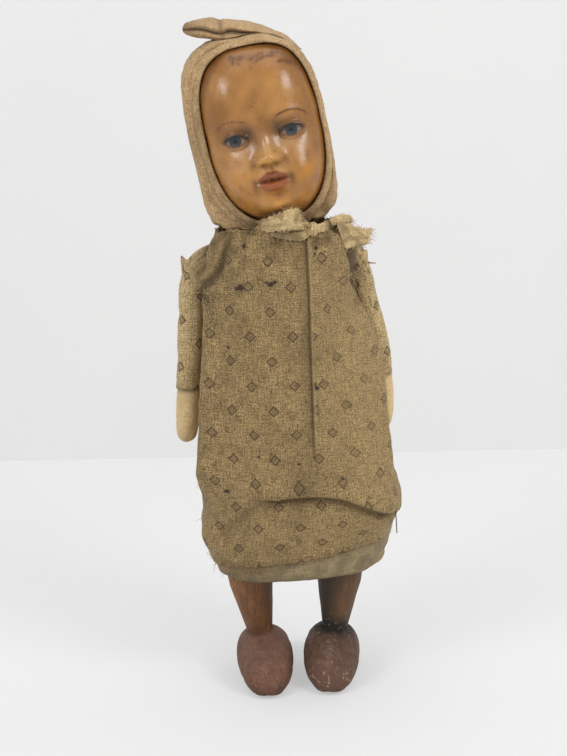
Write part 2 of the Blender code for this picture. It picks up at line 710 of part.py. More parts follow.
def thread_ends(sign):
    """Where a shoulder's sewing thread starts in the arm and ends in the torso, along the hinge axis."""
    inward = arm_axis(sign) if sign > 0 else -arm_axis(sign)
    pivot = shoulder_point(sign)
    to_torso = (SHOULDER_X - (DRESS_SHOULDER_HALF - CLOTH)) / abs(inward.x)
    return pivot - inward * (CUFF_RADIUS - SLEEVE_WALL) / 2, pivot + inward * (to_torso + THREAD_IN_TORSO)


def make_arm(side, sign, shoulder, cloth, print_cloth):
    arm_top = SLEEVE_RADIUS - SLEEVE_WALL - GAP
    wrist = CUFF_RADIUS - SLEEVE_WALL - GAP
    dome = [(arm_top * math.sin(a), arm_top * math.cos(a)) for a in (0.0, 0.55, 1.1, math.pi / 2)]
    profile = dome + [
        (wrist, -SLEEVE_LENGTH),
        (HAND_RADIUS, -SLEEVE_LENGTH - 1.2 * HAND_RADIUS),
        (HAND_RADIUS, -ARM_LENGTH + HAND_RADIUS),
        (0.75 * HAND_RADIUS, -ARM_LENGTH + 0.35 * HAND_RADIUS),
        (0.35 * HAND_RADIUS, -ARM_LENGTH + 0.06 * HAND_RADIUS),
        (0, -ARM_LENGTH),
    ]
    arm = turned(f"{side}_arm", profile, steps=20)
    dome = (0.0, 0.55, 1.1, math.pi / 2)
    inner_radius = SLEEVE_RADIUS - SLEEVE_WALL
    outer = [(SLEEVE_RADIUS * math.sin(a), SLEEVE_RADIUS * math.cos(a)) for a in dome]
    inner = [(inner_radius * math.sin(a), inner_radius * math.cos(a)) for a in reversed(dome)]
    cuff = [(CUFF_RADIUS, -SLEEVE_LENGTH), (CUFF_RADIUS - SLEEVE_WALL, -SLEEVE_LENGTH)]
    sleeve = turned(f"{side}_sleeve", outer + cuff + inner, steps=20)
    start, end = thread_ends(sign)
    hole_start = start - (end - start).normalized() * GAP
    hole = cylinder(f"{side}_arm_thread_hole", THREAD_RADIUS + GAP, hole_start, end, 12)
    as_cutter(hole)
    for obj, material in ((arm, cloth), (sleeve, print_cloth)):
        cut(obj, hole)
        place(obj, material, shoulder)


def make_shoulder_thread(side, sign, material):
    start, end = thread_ends(sign)
    thread = cylinder(f"{side}_shoulder_thread", THREAD_RADIUS, start, end, 12)
    place(thread, material)


# Petticoat and dress


def dress_half_width(height):
    stations = [
        (HEM_HEIGHT - PETTICOAT_SHOWS, DRESS_HEM_WIDTH / 2 - CLOTH),
        (HEM_HEIGHT, DRESS_HEM_WIDTH / 2),
        ((HEM_HEIGHT + HIP_HEIGHT) / 2, DRESS_HIP_HALF - CLOTH / 4),
        (HIP_HEIGHT, DRESS_HIP_HALF),
        (HAND_LEVEL, DRESS_HAND_HALF),
        (SHOULDER_HEIGHT - SLEEVE_LENGTH / 2, DRESS_SHOULDER_HALF + SLEEVE_LENGTH / 2 * math.tan(ARM_LEAN)),
        (SHOULDER_HEIGHT, DRESS_SHOULDER_HALF),
        (WING_HEIGHT, DRESS_SHOULDER_HALF),
        (NECKLINE_HEIGHT, NECKLINE_WIDTH / 2),
    ]
    return between(stations, height)


def dress_half_depth(height):
    stations = [
        (HEM_HEIGHT - PETTICOAT_SHOWS, DRESS_HEM_DEPTH / 2 - CLOTH / 2),
        (HEM_HEIGHT, DRESS_HEM_DEPTH / 2),
        (HIP_HEIGHT + 0.3 * (HAND_LEVEL - HIP_HEIGHT), DRESS_HIP_DEPTH / 2),
        (SHOULDER_HEIGHT - 2 * SHOULDER_BELOW_TOP, DRESS_CHEST_DEPTH / 2),
        (SHOULDER_HEIGHT, 0.94 * DRESS_CHEST_DEPTH / 2),
        (NECKLINE_HEIGHT, NECKLINE_DEPTH / 2),
    ]
    return between(stations, height)


def skirt_billow(angle, height):
    """The skirt stands out on the doll's left: low down at the side, higher up only before the arm."""
    low_share = between([(HIP_HEIGHT, 1.0), (HAND_LEVEL - HAND_RADIUS / 2, 0.0)], height)
    low = low_share * bump(angle_from(angle, math.radians(82)), math.radians(45))
    fall_off = [(SHOULDER_HEIGHT - 0.6 * SLEEVE_LENGTH, 1.0), (SHOULDER_HEIGHT, 0.45), (WING_HEIGHT, 0.0)]
    high_share = between(fall_off, height) * (1 - low_share)
    high = high_share * bump(angle_from(angle, math.radians(69)), math.radians(21))
    hem_share = between([(HEM_HEIGHT - PETTICOAT_SHOWS, 0.6), (HIP_HEIGHT, 1.0)], height)
    return SIDE_BILLOW * (low * hem_share + high)


def shoulder_wing(angle, height):
    """The dress reaches out over the sleeves' round tops."""
    foot = WING_HEIGHT
    stations = [(foot, 0.0), (foot + GAP, 1.0), (foot + WING_EDGE, 1.0), (NECKLINE_HEIGHT - CLOTH, 0.05)]
    from_left = bump(angle_from(angle, math.radians(92)), math.radians(24))
    from_right = bump(angle_from(angle, math.radians(-90)), math.radians(24))
    return SHOULDER_WING * between(stations, height) * (from_left + from_right)


def dress_folds(angle, height):
    """The overlap down the front, and the slack fold above the hem."""
    from_pleat = angle_from(angle, PLEAT_ANGLE)
    pleat_share = between([(HAND_LEVEL - HAND_RADIUS, 0.0), (HAND_LEVEL + 3 * HAND_RADIUS, 1.0)], height)
    if from_pleat < 0:
        pleat = -0.8 * bump(from_pleat, math.radians(9))
    else:
        pleat = bump(from_pleat, math.radians(16))
    tuck_height = HIP_HEIGHT + TUCK_ABOVE_HIP - TUCK_SLANT * max(0.0, math.sin(angle)) ** 2
    tuck_reach = bump(angle_from(angle, math.radians(25)), math.radians(42))
    tuck = bump(height - tuck_height, TUCK_SPREAD) * tuck_reach
    return PLEAT_STEP * pleat_share * pleat + TUCK_SWELL * tuck


def skirt_point(angle, height, inset, folded):
    squareness = between([(HAND_LEVEL, SKIRT_SQUARENESS), (SHOULDER_HEIGHT, YOKE_SQUARENESS)], height)
    x = dress_half_width(height) * power(math.sin(angle), squareness)
    y = -dress_half_depth(height) * power(math.cos(angle), squareness)
    out = skirt_billow(angle, height) + shoulder_wing(angle, height) - inset
    if folded:
        out += dress_folds(angle, height)
    return Vector((x + out * math.sin(angle), y - out * math.cos(angle), height))


def dress_angles():
    step, count = 12, 30
    angles = [math.radians(-180 + step * i) for i in range(count)]
    edge = math.radians(0.7)
    near_pleat = [PLEAT_ANGLE - edge, PLEAT_ANGLE + edge]
    return sorted([a for a in angles if abs(a - PLEAT_ANGLE) > 3 * edge] + near_pleat)


def hem_rise(angle):
    """How much higher the dress's hem lies at an angle."""
    return HEM_LIFT * bump(angle_from(angle, math.radians(48)), math.radians(35))


def make_dress(material):
    skirt_shares = [0, 0.1, 0.2, 0.26, 0.32, 0.38, 0.46, 0.56, 0.7, 0.85, 1.0]
    heights = [HEM_HEIGHT + share * (SHOULDER_HEIGHT - HEM_HEIGHT) for share in skirt_shares]
    yoke = WING_HEIGHT + WING_EDGE
    heights += [WING_HEIGHT, WING_HEIGHT + GAP, yoke]
    heights += [yoke + share * (NECKLINE_HEIGHT - yoke) for share in (0.35, 0.7, 1.0)]
    rings = []
    for height in heights:
        near_hem = max(0.0, 1 - (height - HEM_HEIGHT) / (0.14 * (NECKLINE_HEIGHT - HEM_HEIGHT)))
        ring = []
        for angle in dress_angles():
            point = skirt_point(angle, height, 0.0, True)
            point.z += hem_rise(angle) * near_hem
            ring.append(point)
        rings.append(ring)
    dress = loft("dress", rings)
    solidify(dress, CLOTH)
    for side, sign in SIDES:
        start, end = thread_ends(sign)
        armhole = cylinder(f"dress_{side}_armhole", ARMHOLE_RADIUS, start, end, 16)
        cut(dress, as_cutter(armhole))
    place(dress, material)


def make_petticoat(material):
    """It is tied round the torso's waist, hangs clear of the hips and shows below the dress."""
    bottom = HEM_HEIGHT - PETTICOAT_SHOWS
    inset = CLOTH + PETTICOAT_EASE
    full = HIP_HEIGHT + THIGH_RADIUS + PETTICOAT_OVER_LEGS
    angles = dress_angles()
    rings = []
    for share in (0, 0.15, 0.4, 0.7, 1.0):
        height = bottom + share * (full - bottom)
        rings.append([skirt_point(angle, height, inset, False) for angle in angles])
    flare = rings[-1]
    out = CLOTH + GAP
    for share in (0.35, 0.7, 1.0):
        height = full + share * (WAIST_HEIGHT - full)
        waist = oval(torso_half_width(height) + out, torso_half_depth(height) + out, height, angles)
        rings.append([a.lerp(Vector((b.x, b.y, height)), 1 - share) for a, b in zip(waist, flare)])
    petticoat = loft("petticoat", rings)
    solidify(petticoat, CLOTH)
    place(petticoat, material)


# Bow


def neckline_point(angle, height, out):
    return skirt_point(angle, height, -out, True)


def make_bow(material):
    middle = neckline_point(KNOT_ANGLE, NECKLINE_HEIGHT - CLOTH, KNOT_RADIUS + KNOT_STANDOFF)
    bm = bmesh.new()
    bmesh.ops.create_uvsphere(bm, u_segments=12, v_segments=8, radius=KNOT_RADIUS)
    bmesh.ops.scale(bm, vec=(0.9, 1.0, 1.1), verts=bm.verts)
    knot = mesh_object("bow_knot", bm)
    knot.location = middle
    place(knot, material)
    make_bow_loop("bow_right_loop", middle, Vector((-1, -0.34, 0.2)), RIGHT_LOOP_LENGTH, material)
    make_bow_loop("bow_left_loop", middle, Vector((1, 0.2, -0.13)), LEFT_LOOP_LENGTH, material)


def make_bow_loop(name, middle, direction, length, material):
    """A torn strip folded back on itself: a flat pouch that leaves the knot and spreads."""
    direction.normalize()
    start = KNOT_RADIUS + GAP
    stations = [(0.0, 0.34, 0.5), (0.2, 0.62, 0.8), (0.5, 1.0, 1.0), (0.8, 0.98, 0.8), (1.0, 0.7, 0.35)]
    up = Vector((0, 0, 1))
    ahead = direction.cross(up)
    rings = []
    for along, height, thickness in stations:
        lift = LOOP_HEIGHT / 8 * math.sin(math.pi * along)
        centre = direction * (start + along * (length - start)) + up * lift
        ring = []
        for i in range(14):
            angle = 2 * math.pi * i / 14
            ring.append(centre + up * (height * LOOP_HEIGHT / 2 * math.cos(angle))
                        - ahead * (thickness * LOOP_THICKNESS / 2 * math.sin(angle)))
        rings.append(ring)
    loop = loft(name, rings, cap_first=True, cap_last=True)
    loop.location = middle
    place(loop, material)


SIDES = (("left", 1), ("right", -1))


def main():
    clear_scene()
    make_collections()
    print_cloth = make_material("printed cotton", (0.30, 0.22, 0.12), 0.95)
    hood_cloth = make_material("hood cotton", (0.42, 0.33, 0.21), 0.95)
    under_cloth = make_material("petticoat cotton", (0.26, 0.21, 0.13), 0.95)
    pale_cloth = make_material("arm cotton", (0.56, 0.43, 0.25), 0.9)
    pink_cloth = make_material("body cotton", (0.46, 0.30, 0.24), 0.9)
    celluloid = make_material("face celluloid", (0.55, 0.30, 0.11), 0.25)
    leg_wood = make_material("leg wood", (0.22, 0.10, 0.045), 0.5)
    shoe_wood = make_material("shoe wood", (0.20, 0.10, 0.065), 0.6)
    raw_wood = make_material("raw wood", (0.42, 0.28, 0.15), 0.7)
    wire = make_material("iron wire", (0.20, 0.18, 0.16), 0.5, 1.0)
    thread = make_material("waxed thread", (0.50, 0.42, 0.30), 0.8)

    head = make_empty("head_pivot", NECK_POINT, (0, -HEAD_TILT, 0))
    for side, sign in SIDES:
        hip = make_empty(f"{side}_hip_pivot", (sign * HIP_X, 0, HIP_HEIGHT), (0, sign * LEG_SPLAY, 0))
        make_leg(side, sign, hip, leg_wood)
        make_shoe(side, sign, shoe_wood)
        make_hip_washers(side, sign, wire)
        shoulder = make_empty(f"{side}_shoulder_pivot", shoulder_point(sign), (0, -sign * ARM_LEAN, 0))
        make_arm(side, sign, shoulder, pale_cloth, print_cloth)
        make_shoulder_thread(side, sign, thread)
    make_hip_axle(wire)
    make_hip_block(raw_wood)
    make_torso(pink_cloth)
    make_neck_peg(raw_wood)
    make_neck(head, pink_cloth)
    make_head_stuffing(head, pink_cloth)
    make_face_mask(head, celluloid)
    make_hood(head, hood_cloth)
    make_hood_band(head, hood_cloth)
    make_hood_peak(head, hood_cloth)
    make_petticoat(under_cloth)
    make_dress(print_cloth)
    make_bow(hood_cloth)


main()
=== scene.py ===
"""The baby doll's looks: cloth, face, wood and studio. Metres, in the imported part's frame."""

import math

import bmesh
import bpy
import numpy as np
from mathutils import Matrix, Vector


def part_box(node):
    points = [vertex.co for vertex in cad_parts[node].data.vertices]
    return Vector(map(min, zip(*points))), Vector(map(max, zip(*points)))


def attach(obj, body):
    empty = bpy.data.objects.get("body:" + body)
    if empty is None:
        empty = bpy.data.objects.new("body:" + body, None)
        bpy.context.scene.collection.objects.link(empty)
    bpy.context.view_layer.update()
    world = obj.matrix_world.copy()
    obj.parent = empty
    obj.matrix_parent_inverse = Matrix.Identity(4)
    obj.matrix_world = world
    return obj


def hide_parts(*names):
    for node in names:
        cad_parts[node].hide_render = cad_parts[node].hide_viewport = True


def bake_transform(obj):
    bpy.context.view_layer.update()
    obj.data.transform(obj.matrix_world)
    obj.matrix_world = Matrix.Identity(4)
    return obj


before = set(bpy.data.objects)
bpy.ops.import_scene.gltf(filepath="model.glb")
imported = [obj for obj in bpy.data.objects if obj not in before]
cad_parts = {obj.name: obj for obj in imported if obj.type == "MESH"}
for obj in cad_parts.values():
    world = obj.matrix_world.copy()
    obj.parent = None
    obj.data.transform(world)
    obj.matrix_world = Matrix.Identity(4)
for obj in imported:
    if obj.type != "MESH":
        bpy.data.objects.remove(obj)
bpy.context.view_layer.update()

MM = 0.001

# Levels and places of the solids
HIP = Vector((30.1, 0, 105)) * MM
SHOE_HEIGHT = 26 * MM
TORSO_BOTTOM = 126.3 * MM
TORSO_TOP = 238.3 * MM
TORSO_HALF = (32 * MM, 27 * MM)
SHOULDER_HEIGHT = 222.3 * MM
SHOULDER_X = 46.1 * MM
SLEEVE_RADIUS = 7.1 * MM
SLEEVE_LENGTH = 60 * MM
ARM_LENGTH = 90 * MM
HAND_RADIUS = 5.6 * MM
HAND_LEVEL = SHOULDER_HEIGHT - ARM_LENGTH
ARM_LEAN = math.radians(3)
WING_HEIGHT = SHOULDER_HEIGHT + SLEEVE_RADIUS + 0.6 * MM
NECKLINE = 246.8 * MM
HEM = 73 * MM
PETTICOAT_HEM = 66 * MM
WAIST = 150 * MM
PRINT_SHIFT = (-3.4 * MM, 3.0 * MM)
PRINT_CELL = (21.6, 25.0)
DIAMOND_HALF = 2.85
# How much printed cloth the overlap hides: height, width
FOLD_DEPTH = (
    (60, 0.0), (118, 0.0), (147, 3.7), (171, 7.0),
    (184, 9.6), (203, 13.3), (233, 16.5), (250, 17.0),
)
NECK_POINT = Vector((-0.7, 2, 255.8)) * MM
HEAD_TILT = math.radians(10.3)
LEG_SPLAY = math.radians(7)
FACE_MIDDLE = 41.5 * MM
SIDES = (("left", 1), ("right", -1))


# Numbers


def srgb(red, green, blue):
    """A colour as seen on a screen, 0 to 255, in the linear values that shaders take."""
    values = [c / 255 for c in (red, green, blue)]
    return tuple(v / 12.92 if v < 0.04045 else ((v + 0.055) / 1.055) ** 2.4 for v in values)


def bump(distance, spread):
    """1 at no distance, faded out over a spread."""
    return np.exp(-((distance / spread) ** 2))


def power(value, squareness):
    """Sine or cosine bent so that a circle, at 2, turns squarer."""
    return np.sign(value) * np.abs(value) ** (2 / squareness)


def step(value, low, high):
    """0 below low, 1 above high, eased between."""
    share = np.clip((value - low) / (high - low), 0, 1)
    return share * share * (3 - 2 * share)


def between(value, low, full, falling, gone):
    """1 from full to falling, 0 below low and above gone, eased between."""
    return step(value, low, full) * (1 - step(value, falling, gone))


def blob(x, z, size):
    """A round mark: 1 in its middle, faded out over its size."""
    return bump(np.hypot(x, z), size)


def stacked(*parts):
    """Grids of x, y and z, or of u and v, as one grid of points."""
    return np.stack(np.broadcast_arrays(*parts), -1)


def full_turn(count, start=0.0):
    return np.linspace(start, start + 2 * math.pi, count, endpoint=False)


def run_along(line):
    """How far along a line each of its points lies."""
    return np.concatenate([[0], np.cumsum(np.linalg.norm(np.diff(line, axis=0), axis=1))])


def angle_from(first, second):
    return (first - second + math.pi) % (2 * math.pi) - math.pi


def eased(stations, heights):
    """A smooth line through (height, value) stations that doesn't overshoot them."""
    x = np.array([s[0] for s in stations], float)
    y = np.array([s[1] for s in stations], float)
    slope = np.diff(y) / np.diff(x)
    tangent = np.zeros_like(y)
    same = slope[1:] * slope[:-1] > 0
    tangent[1:-1] = np.where(same, 2 * slope[1:] * slope[:-1] / np.where(same, slope[1:] + slope[:-1], 1), 0)
    z = np.clip(heights, x[0], x[-1])
    i = np.clip(np.searchsorted(x, z) - 1, 0, len(x) - 2)
    width = x[i + 1] - x[i]
    t = (z - x[i]) / width
    first = (1 + 2 * t) * (1 - t) ** 2 * y[i] + t * (1 - t) ** 2 * width * tangent[i]
    second = t * t * (3 - 2 * t) * y[i + 1] + t * t * (t - 1) * width * tangent[i + 1]
    return first + second


def waves(points, wavelength, seed, count=16):
    """Smooth random relief of about unit height: a sum of waves that run every way."""
    rng = np.random.default_rng(seed)
    ways = rng.normal(size=(count, 3))
    ways /= np.linalg.norm(ways, axis=1)[:, None]
    ways *= (2 * math.pi / wavelength * rng.uniform(0.6, 1.6, count))[:, None]
    return np.sin(points @ ways.T + rng.uniform(0, 2 * math.pi, count)).sum(-1) / math.sqrt(count / 2)


# Meshes


def new_object(name, data):
    obj = bpy.data.objects.new(name, data)
    bpy.context.scene.collection.objects.link(obj)
    return obj


def grid_object(name, points, uv=None, wrap=False, colours=None, caps=""):
    """A skin over a grid of points (rows, columns, xyz). A wrapped grid closes its columns into rings.

    Caps close the last row, or both the first and the last.
    """
    rows, columns = points.shape[:2]
    index = np.arange(rows * columns).reshape(rows, columns)
    following = np.roll(index, -1, axis=1)
    if not wrap:
        index, following = index[:, :-1], following[:, :-1]
    quads = stacked(index[:-1], following[:-1], following[1:], index[1:]).reshape(-1, 4)
    faces = quads.tolist()
    if caps == "both":
        faces.append(np.arange(columns)[::-1].tolist())
    if caps:
        faces.append((np.arange(columns) + (rows - 1) * columns).tolist())
    mesh = bpy.data.meshes.new(name)
    mesh.from_pydata(points.reshape(-1, 3).tolist(), [], faces)
    if uv is not None:
        corners = np.stack([uv[:-1, :-1], uv[:-1, 1:], uv[1:, 1:], uv[1:, :-1]], 2).reshape(-1, 2)
        uv_layer = mesh.uv_layers.new(name="UVMap")
        flat = np.zeros((len(mesh.loops), 2), np.float32)
        flat[: len(corners)] = corners
        uv_layer.data.foreach_set("uv", flat.ravel())
    for key, values in (colours or {}).items():
        attribute = mesh.color_attributes.new(key, "FLOAT_COLOR", "POINT")
        attribute.data.foreach_set("color", values.reshape(-1, 4).astype(np.float32).ravel())
    mesh.shade_smooth()
    return new_object(name, mesh)


def drop_points(obj, unwanted):
    """Takes points, and the faces that use them, out of a mesh."""
    bm = bmesh.new()
    bm.from_mesh(obj.data)
    bm.verts.ensure_lookup_table()
    bmesh.ops.delete(bm, geom=[v for v, bad in zip(bm.verts, unwanted) if bad], context="VERTS")
    bm.to_mesh(obj.data)
    bm.free()


def weld(obj):
    """Joins points that lie on each other, and turns all faces out."""
    bm = bmesh.new()
    bm.from_mesh(obj.data)
    bmesh.ops.remove_doubles(bm, verts=bm.verts, dist=1e-6)
    bmesh.ops.recalc_face_normals(bm, faces=bm.faces)
    bm.to_mesh(obj.data)
    bm.free()
    obj.data.shade_smooth()


def add_wall(obj, thickness, offset=-1.0):
    wall = obj.modifiers.new("cloth thickness", "SOLIDIFY")
    wall.thickness = thickness
    wall.offset = offset


def paint_with(obj, material):
    obj.data.materials.clear()
    obj.data.materials.append(material)
    return obj


def threads_object(name, lines, radius, material):
    """Loose threads, each a line of points, as one curve object."""
    curve = bpy.data.curves.new(name, "CURVE")
    curve.dimensions = "3D"
    curve.bevel_depth = radius
    curve.bevel_resolution = 1
    for line in lines:
        spline = curve.splines.new("POLY")
        spline.points.add(len(line) - 1)
        for point, place in zip(spline.points, line):
            point.co = (*place, 1)
    curve.materials.append(material)
    return new_object(name, curve)


def thread_lines(rng, starts, ways, lengths, droop=0.25, points=6):
    """Short threads that leave their starts, wander and droop."""
    lines = []
    for start, way, length in zip(starts, ways, lengths):
        curl = rng.normal(size=3) * 0.55
        line = []
        for i in range(points):
            t = i / (points - 1)
            fall = Vector((0, 0, -droop * length * t * t))
            line.append(Vector(start) + Vector(way) * (length * t) + Vector(curl * length * t * t) + fall)
        lines.append(line)
    return lines


def head_to_world(points):
    """Points of the upright head, from the neck's pivot, to where the leaning head has them."""
    turn = np.array(Matrix.Rotation(-HEAD_TILT, 3, "Y"))
    return points @ turn.T + np.array(NECK_POINT)


# Node helpers


class Nodes:
    """Builds a material's nodes by short calls."""

    def __init__(self, name):
        self.material = bpy.data.materials.new(name)
        self.material.use_nodes = True
        self.tree = self.material.node_tree
        self.shader = self.tree.nodes["Principled BSDF"]

    def node(self, kind, **settings):
        made = self.tree.nodes.new(kind)
        for key, value in settings.items():
            setattr(made, key, value)
        return made

    def fill(self, made, values):
        """Links a node's inputs to other sockets, or sets their values. A colour gets its alpha."""
        for key, value in values.items():
            socket = made.inputs[key]
            if isinstance(value, bpy.types.NodeSocket):
                self.tree.links.new(value, socket)
            else:
                socket.default_value = (*value, 1.0) if socket.type == "RGBA" else value
        return made

    def math(self, operation, first, second=0.0):
        return self.fill(self.node("ShaderNodeMath", operation=operation), {0: first, 1: second}).outputs[0]

    def times(self, first, second):
        return self.math("MULTIPLY", first, second)

    def plus(self, first, second):
        return self.math("ADD", first, second)

    def minus(self, first, second):
        return self.math("SUBTRACT", first, second)

    def mapping(self, source, scale):
        return self.fill(self.node("ShaderNodeMapping"), {"Vector": source, "Scale": scale}).outputs[0]

    def noise(self, source, scale, detail=3.0, roughness=0.55, distortion=0.0):
        values = {"Scale": scale, "Detail": detail, "Roughness": roughness, "Distortion": distortion}
        return self.fill(self.node("ShaderNodeTexNoise"), {"Vector": source, **values}).outputs["Fac"]

    def ramp(self, source, low, high):
        """0 at low and 1 at high, eased between."""
        made = self.node("ShaderNodeMapRange", interpolation_type="SMOOTHSTEP")
        return self.fill(made, {"Value": source, "From Min": low, "From Max": high}).outputs["Result"]

    def mix(self, factor, first, second):
        made = self.node("ShaderNodeMix", data_type="RGBA")
        return self.fill(made, {"Factor": factor, "A": first, "B": second}).outputs["Result"]

    def over(self, colour, mask, amount, tint):
        """Lays a tint, in screen values, over a colour where a mask is."""
        return self.mix(self.times(mask, amount), colour, srgb(*tint))

    def painted(self, colour, name):
        """Lays a mesh's own paint, a colour and an amount at each point, over a colour."""
        paint = self.node("ShaderNodeVertexColor", layer_name=name)
        return self.mix(paint.outputs["Alpha"], colour, paint.outputs["Color"])

    def place(self):
        return self.node("ShaderNodeTexCoord").outputs["Object"]

    def uv(self):
        return self.node("ShaderNodeTexCoord").outputs["UV"]

    def bump(self, height, distance, strength):
        values = {"Height": height, "Distance": distance, "Strength": strength}
        made = self.fill(self.node("ShaderNodeBump"), values)
        self.fill(self.shader, {"Normal": made.outputs["Normal"]})

    def finish(self, colour, roughness, more=None):
        self.fill(self.shader, {"Base Color": colour, "Roughness": roughness, **(more or {})})
        return self.material


# Materials


# Whole cells added to the print's coordinates, which keep them above zero
ABOVE_ZERO = 20.0


def diamonds(build, uv_mm):
    """The dress's print: small outlined diamonds in staggered rows. Gives fill and outline."""
    split = build.fill(build.node("ShaderNodeSeparateXYZ"), {0: uv_mm})
    wobble = build.times(build.noise(uv_mm, 1.3, 2.0), 0.4)
    nearest = None
    for shift in (0.0, 0.5):
        reach = []
        for axis in (0, 1):
            cell = PRINT_CELL[axis]
            cells = build.math("DIVIDE", split.outputs[axis], cell)
            turn = build.math("FRACT", build.plus(cells, shift + ABOVE_ZERO))
            away = build.math("ABSOLUTE", build.minus(turn, 0.5))
            reach.append(build.times(away, cell / DIAMOND_HALF))
        distance = build.plus(reach[0], reach[1])
        nearest = distance if nearest is None else build.math("MINIMUM", nearest, distance)
    nearest = build.plus(nearest, build.minus(wobble, 0.2))
    inside = build.minus(1.0, build.ramp(nearest, 1.0, 1.06))
    core = build.minus(1.0, build.ramp(nearest, 0.7, 0.77))
    return core, build.minus(inside, core)


def squiggles(build, space):
    """The print's ground of short worm-like lines, broken up where it has worn off."""
    field = build.noise(space, 0.42, 1.0, 0.5, 1.2)
    off = build.math("ABSOLUTE", build.minus(field, 0.5))
    line = build.minus(1.0, build.ramp(off, 0.012, 0.04))
    kept = build.ramp(build.noise(space, 0.35, 2.0, 0.6), 0.42, 0.6)
    return build.times(line, kept)


def cloth_material(name, dark, light, printed=False, speckle=1.0, soil_and_shading=0.25, use_uv=True):
    """Old plain-woven cotton: uneven threads both ways, faded and soiled in patches."""
    build = Nodes(name)
    dark, light = srgb(*dark), srgb(*light)
    place = build.place()
    thread_space = build.mapping(build.uv() if use_uv else place, (1000, 1000, 1000))
    weft = build.noise(build.mapping(thread_space, (0.16, 2.1, 1.0)), 1.0, 2.0, 0.6)
    warp = build.noise(build.mapping(thread_space, (2.1, 0.16, 1.0)), 1.0, 2.0, 0.6)
    weave = build.plus(weft, warp)
    grain = build.noise(thread_space, 1.6, 2.0, 0.7, 0.4)
    tone = build.plus(build.times(weave, 0.4), build.times(grain, 0.85 * speckle))
    middle = 0.4 + 0.425 * speckle
    colour = build.mix(build.ramp(tone, middle - 0.18, middle + 0.18), dark, light)
    if printed:
        core, outline = diamonds(build, thread_space)
        colour = build.over(colour, squiggles(build, thread_space), 0.6, (80, 62, 35))
        colour = build.over(colour, core, 0.45, (106, 85, 56))
        colour = build.over(colour, outline, 0.9, (66, 47, 27))
    # Darker stained patches by the amount given; painted shade and highlights come with the mesh's own paint.
    patches = build.ramp(build.noise(place, 26.0, 4.0, 0.6), 0.46, 0.72)
    colour = build.mix(build.times(patches, soil_and_shading), colour, tuple(0.55 * c for c in dark))
    build.bump(build.plus(weave, build.times(grain, 0.6)), 0.35 * MM, 0.8)
    # The mesh's own paint on top holds stains and wear, and also painted shade and painted highlights.
    return build.finish(build.painted(colour, "soil_and_shading"), 0.92, {"Sheen Weight": 0.03, "Sheen Roughness": 0.6})


def wood_material(name, dark, light, grain_scale, roughness, stain, stain_amount, along_grain=0.09):
    """Old wood. along_grain is how drawn out the grain is down the piece: 1 is an even mottle."""
    build = Nodes(name)
    place = build.place()
    grain = build.noise(build.mapping(place, (1.0, 1.0, along_grain)), grain_scale, 4.0, 0.6, 0.4)
    fibre = build.noise(build.mapping(place, (1.0, 1.0, 0.5 * along_grain)), grain_scale * 6, 2.0, 0.6)
    tone = build.plus(build.times(grain, 0.6), build.times(fibre, 0.4))
    colour = build.mix(build.ramp(tone, 0.3, 0.72), srgb(*dark), srgb(*light))
    patches = build.ramp(build.noise(place, 75.0, 4.0, 0.65), 0.48, 0.72)
    colour = build.over(colour, patches, stain_amount, stain)
    specks = build.ramp(build.noise(place, 1000.0, 2.0, 0.5), 0.62, 0.7)
    colour = build.over(colour, specks, 0.55, (44, 30, 20))
    rough = build.plus(roughness, build.times(build.minus(grain, 0.5), 0.2))
    build.bump(build.plus(tone, build.times(specks, -0.5)), 0.3 * MM, 0.7)
    # The mesh's own paint on top holds stains and wear, and also painted shade and painted highlights.
    return build.finish(build.painted(colour, "soil_and_shading"), rough)


def face_material():
    """Old celluloid: glossy, mottled and finely scratched, under the painted features."""
    build = Nodes("face celluloid")
    place = build.place()
    broad = build.ramp(build.noise(place, 34.0, 3.0, 0.55), 0.35, 0.68)
    colour = build.mix(broad, srgb(144, 96, 42), srgb(182, 130, 68))
    blotch = build.ramp(build.noise(place, 120.0, 4.0, 0.65), 0.55, 0.72)
    colour = build.over(colour, blotch, 0.35, (120, 70, 28))
    streak = build.ramp(build.noise(build.mapping(place, (1.0, 1.0, 0.25)), 260.0, 3.0, 0.6), 0.6, 0.75)
    colour = build.over(colour, streak, 0.25, (205, 165, 110))
    fine = build.ramp(build.noise(place, 1500.0, 2.0, 0.5), 0.67, 0.73)
    colour = build.over(colour, fine, 0.5, (92, 52, 24))
    rough = build.plus(0.17, build.times(build.noise(place, 210.0, 3.0, 0.6), 0.2))
    build.bump(build.noise(place, 330.0, 3.0, 0.55), 0.35 * MM, 0.5)
    gloss = {
        "Subsurface Weight": 0.12,
        "Subsurface Radius": (4.0 * MM, 1.8 * MM, 0.8 * MM),
        "Coat Weight": 0.12,
        "Coat Roughness": 0.2,
        "Specular IOR Level": 0.42,
    }
    return build.finish(build.painted(colour, "paint"), rough, gloss)


def thread_material(name, colour):
    return Nodes(name).finish(srgb(*colour), 0.9)


def iron_material():
    build = Nodes("iron wire")
    rust = build.noise(build.place(), 900.0, 4.0, 0.6)
    colour = build.mix(build.ramp(rust, 0.42, 0.62), srgb(92, 86, 78), srgb(88, 52, 30))
    build.bump(rust, 0.1 * MM, 0.6)
    return build.finish(colour, 0.55, {"Metallic": 0.8})


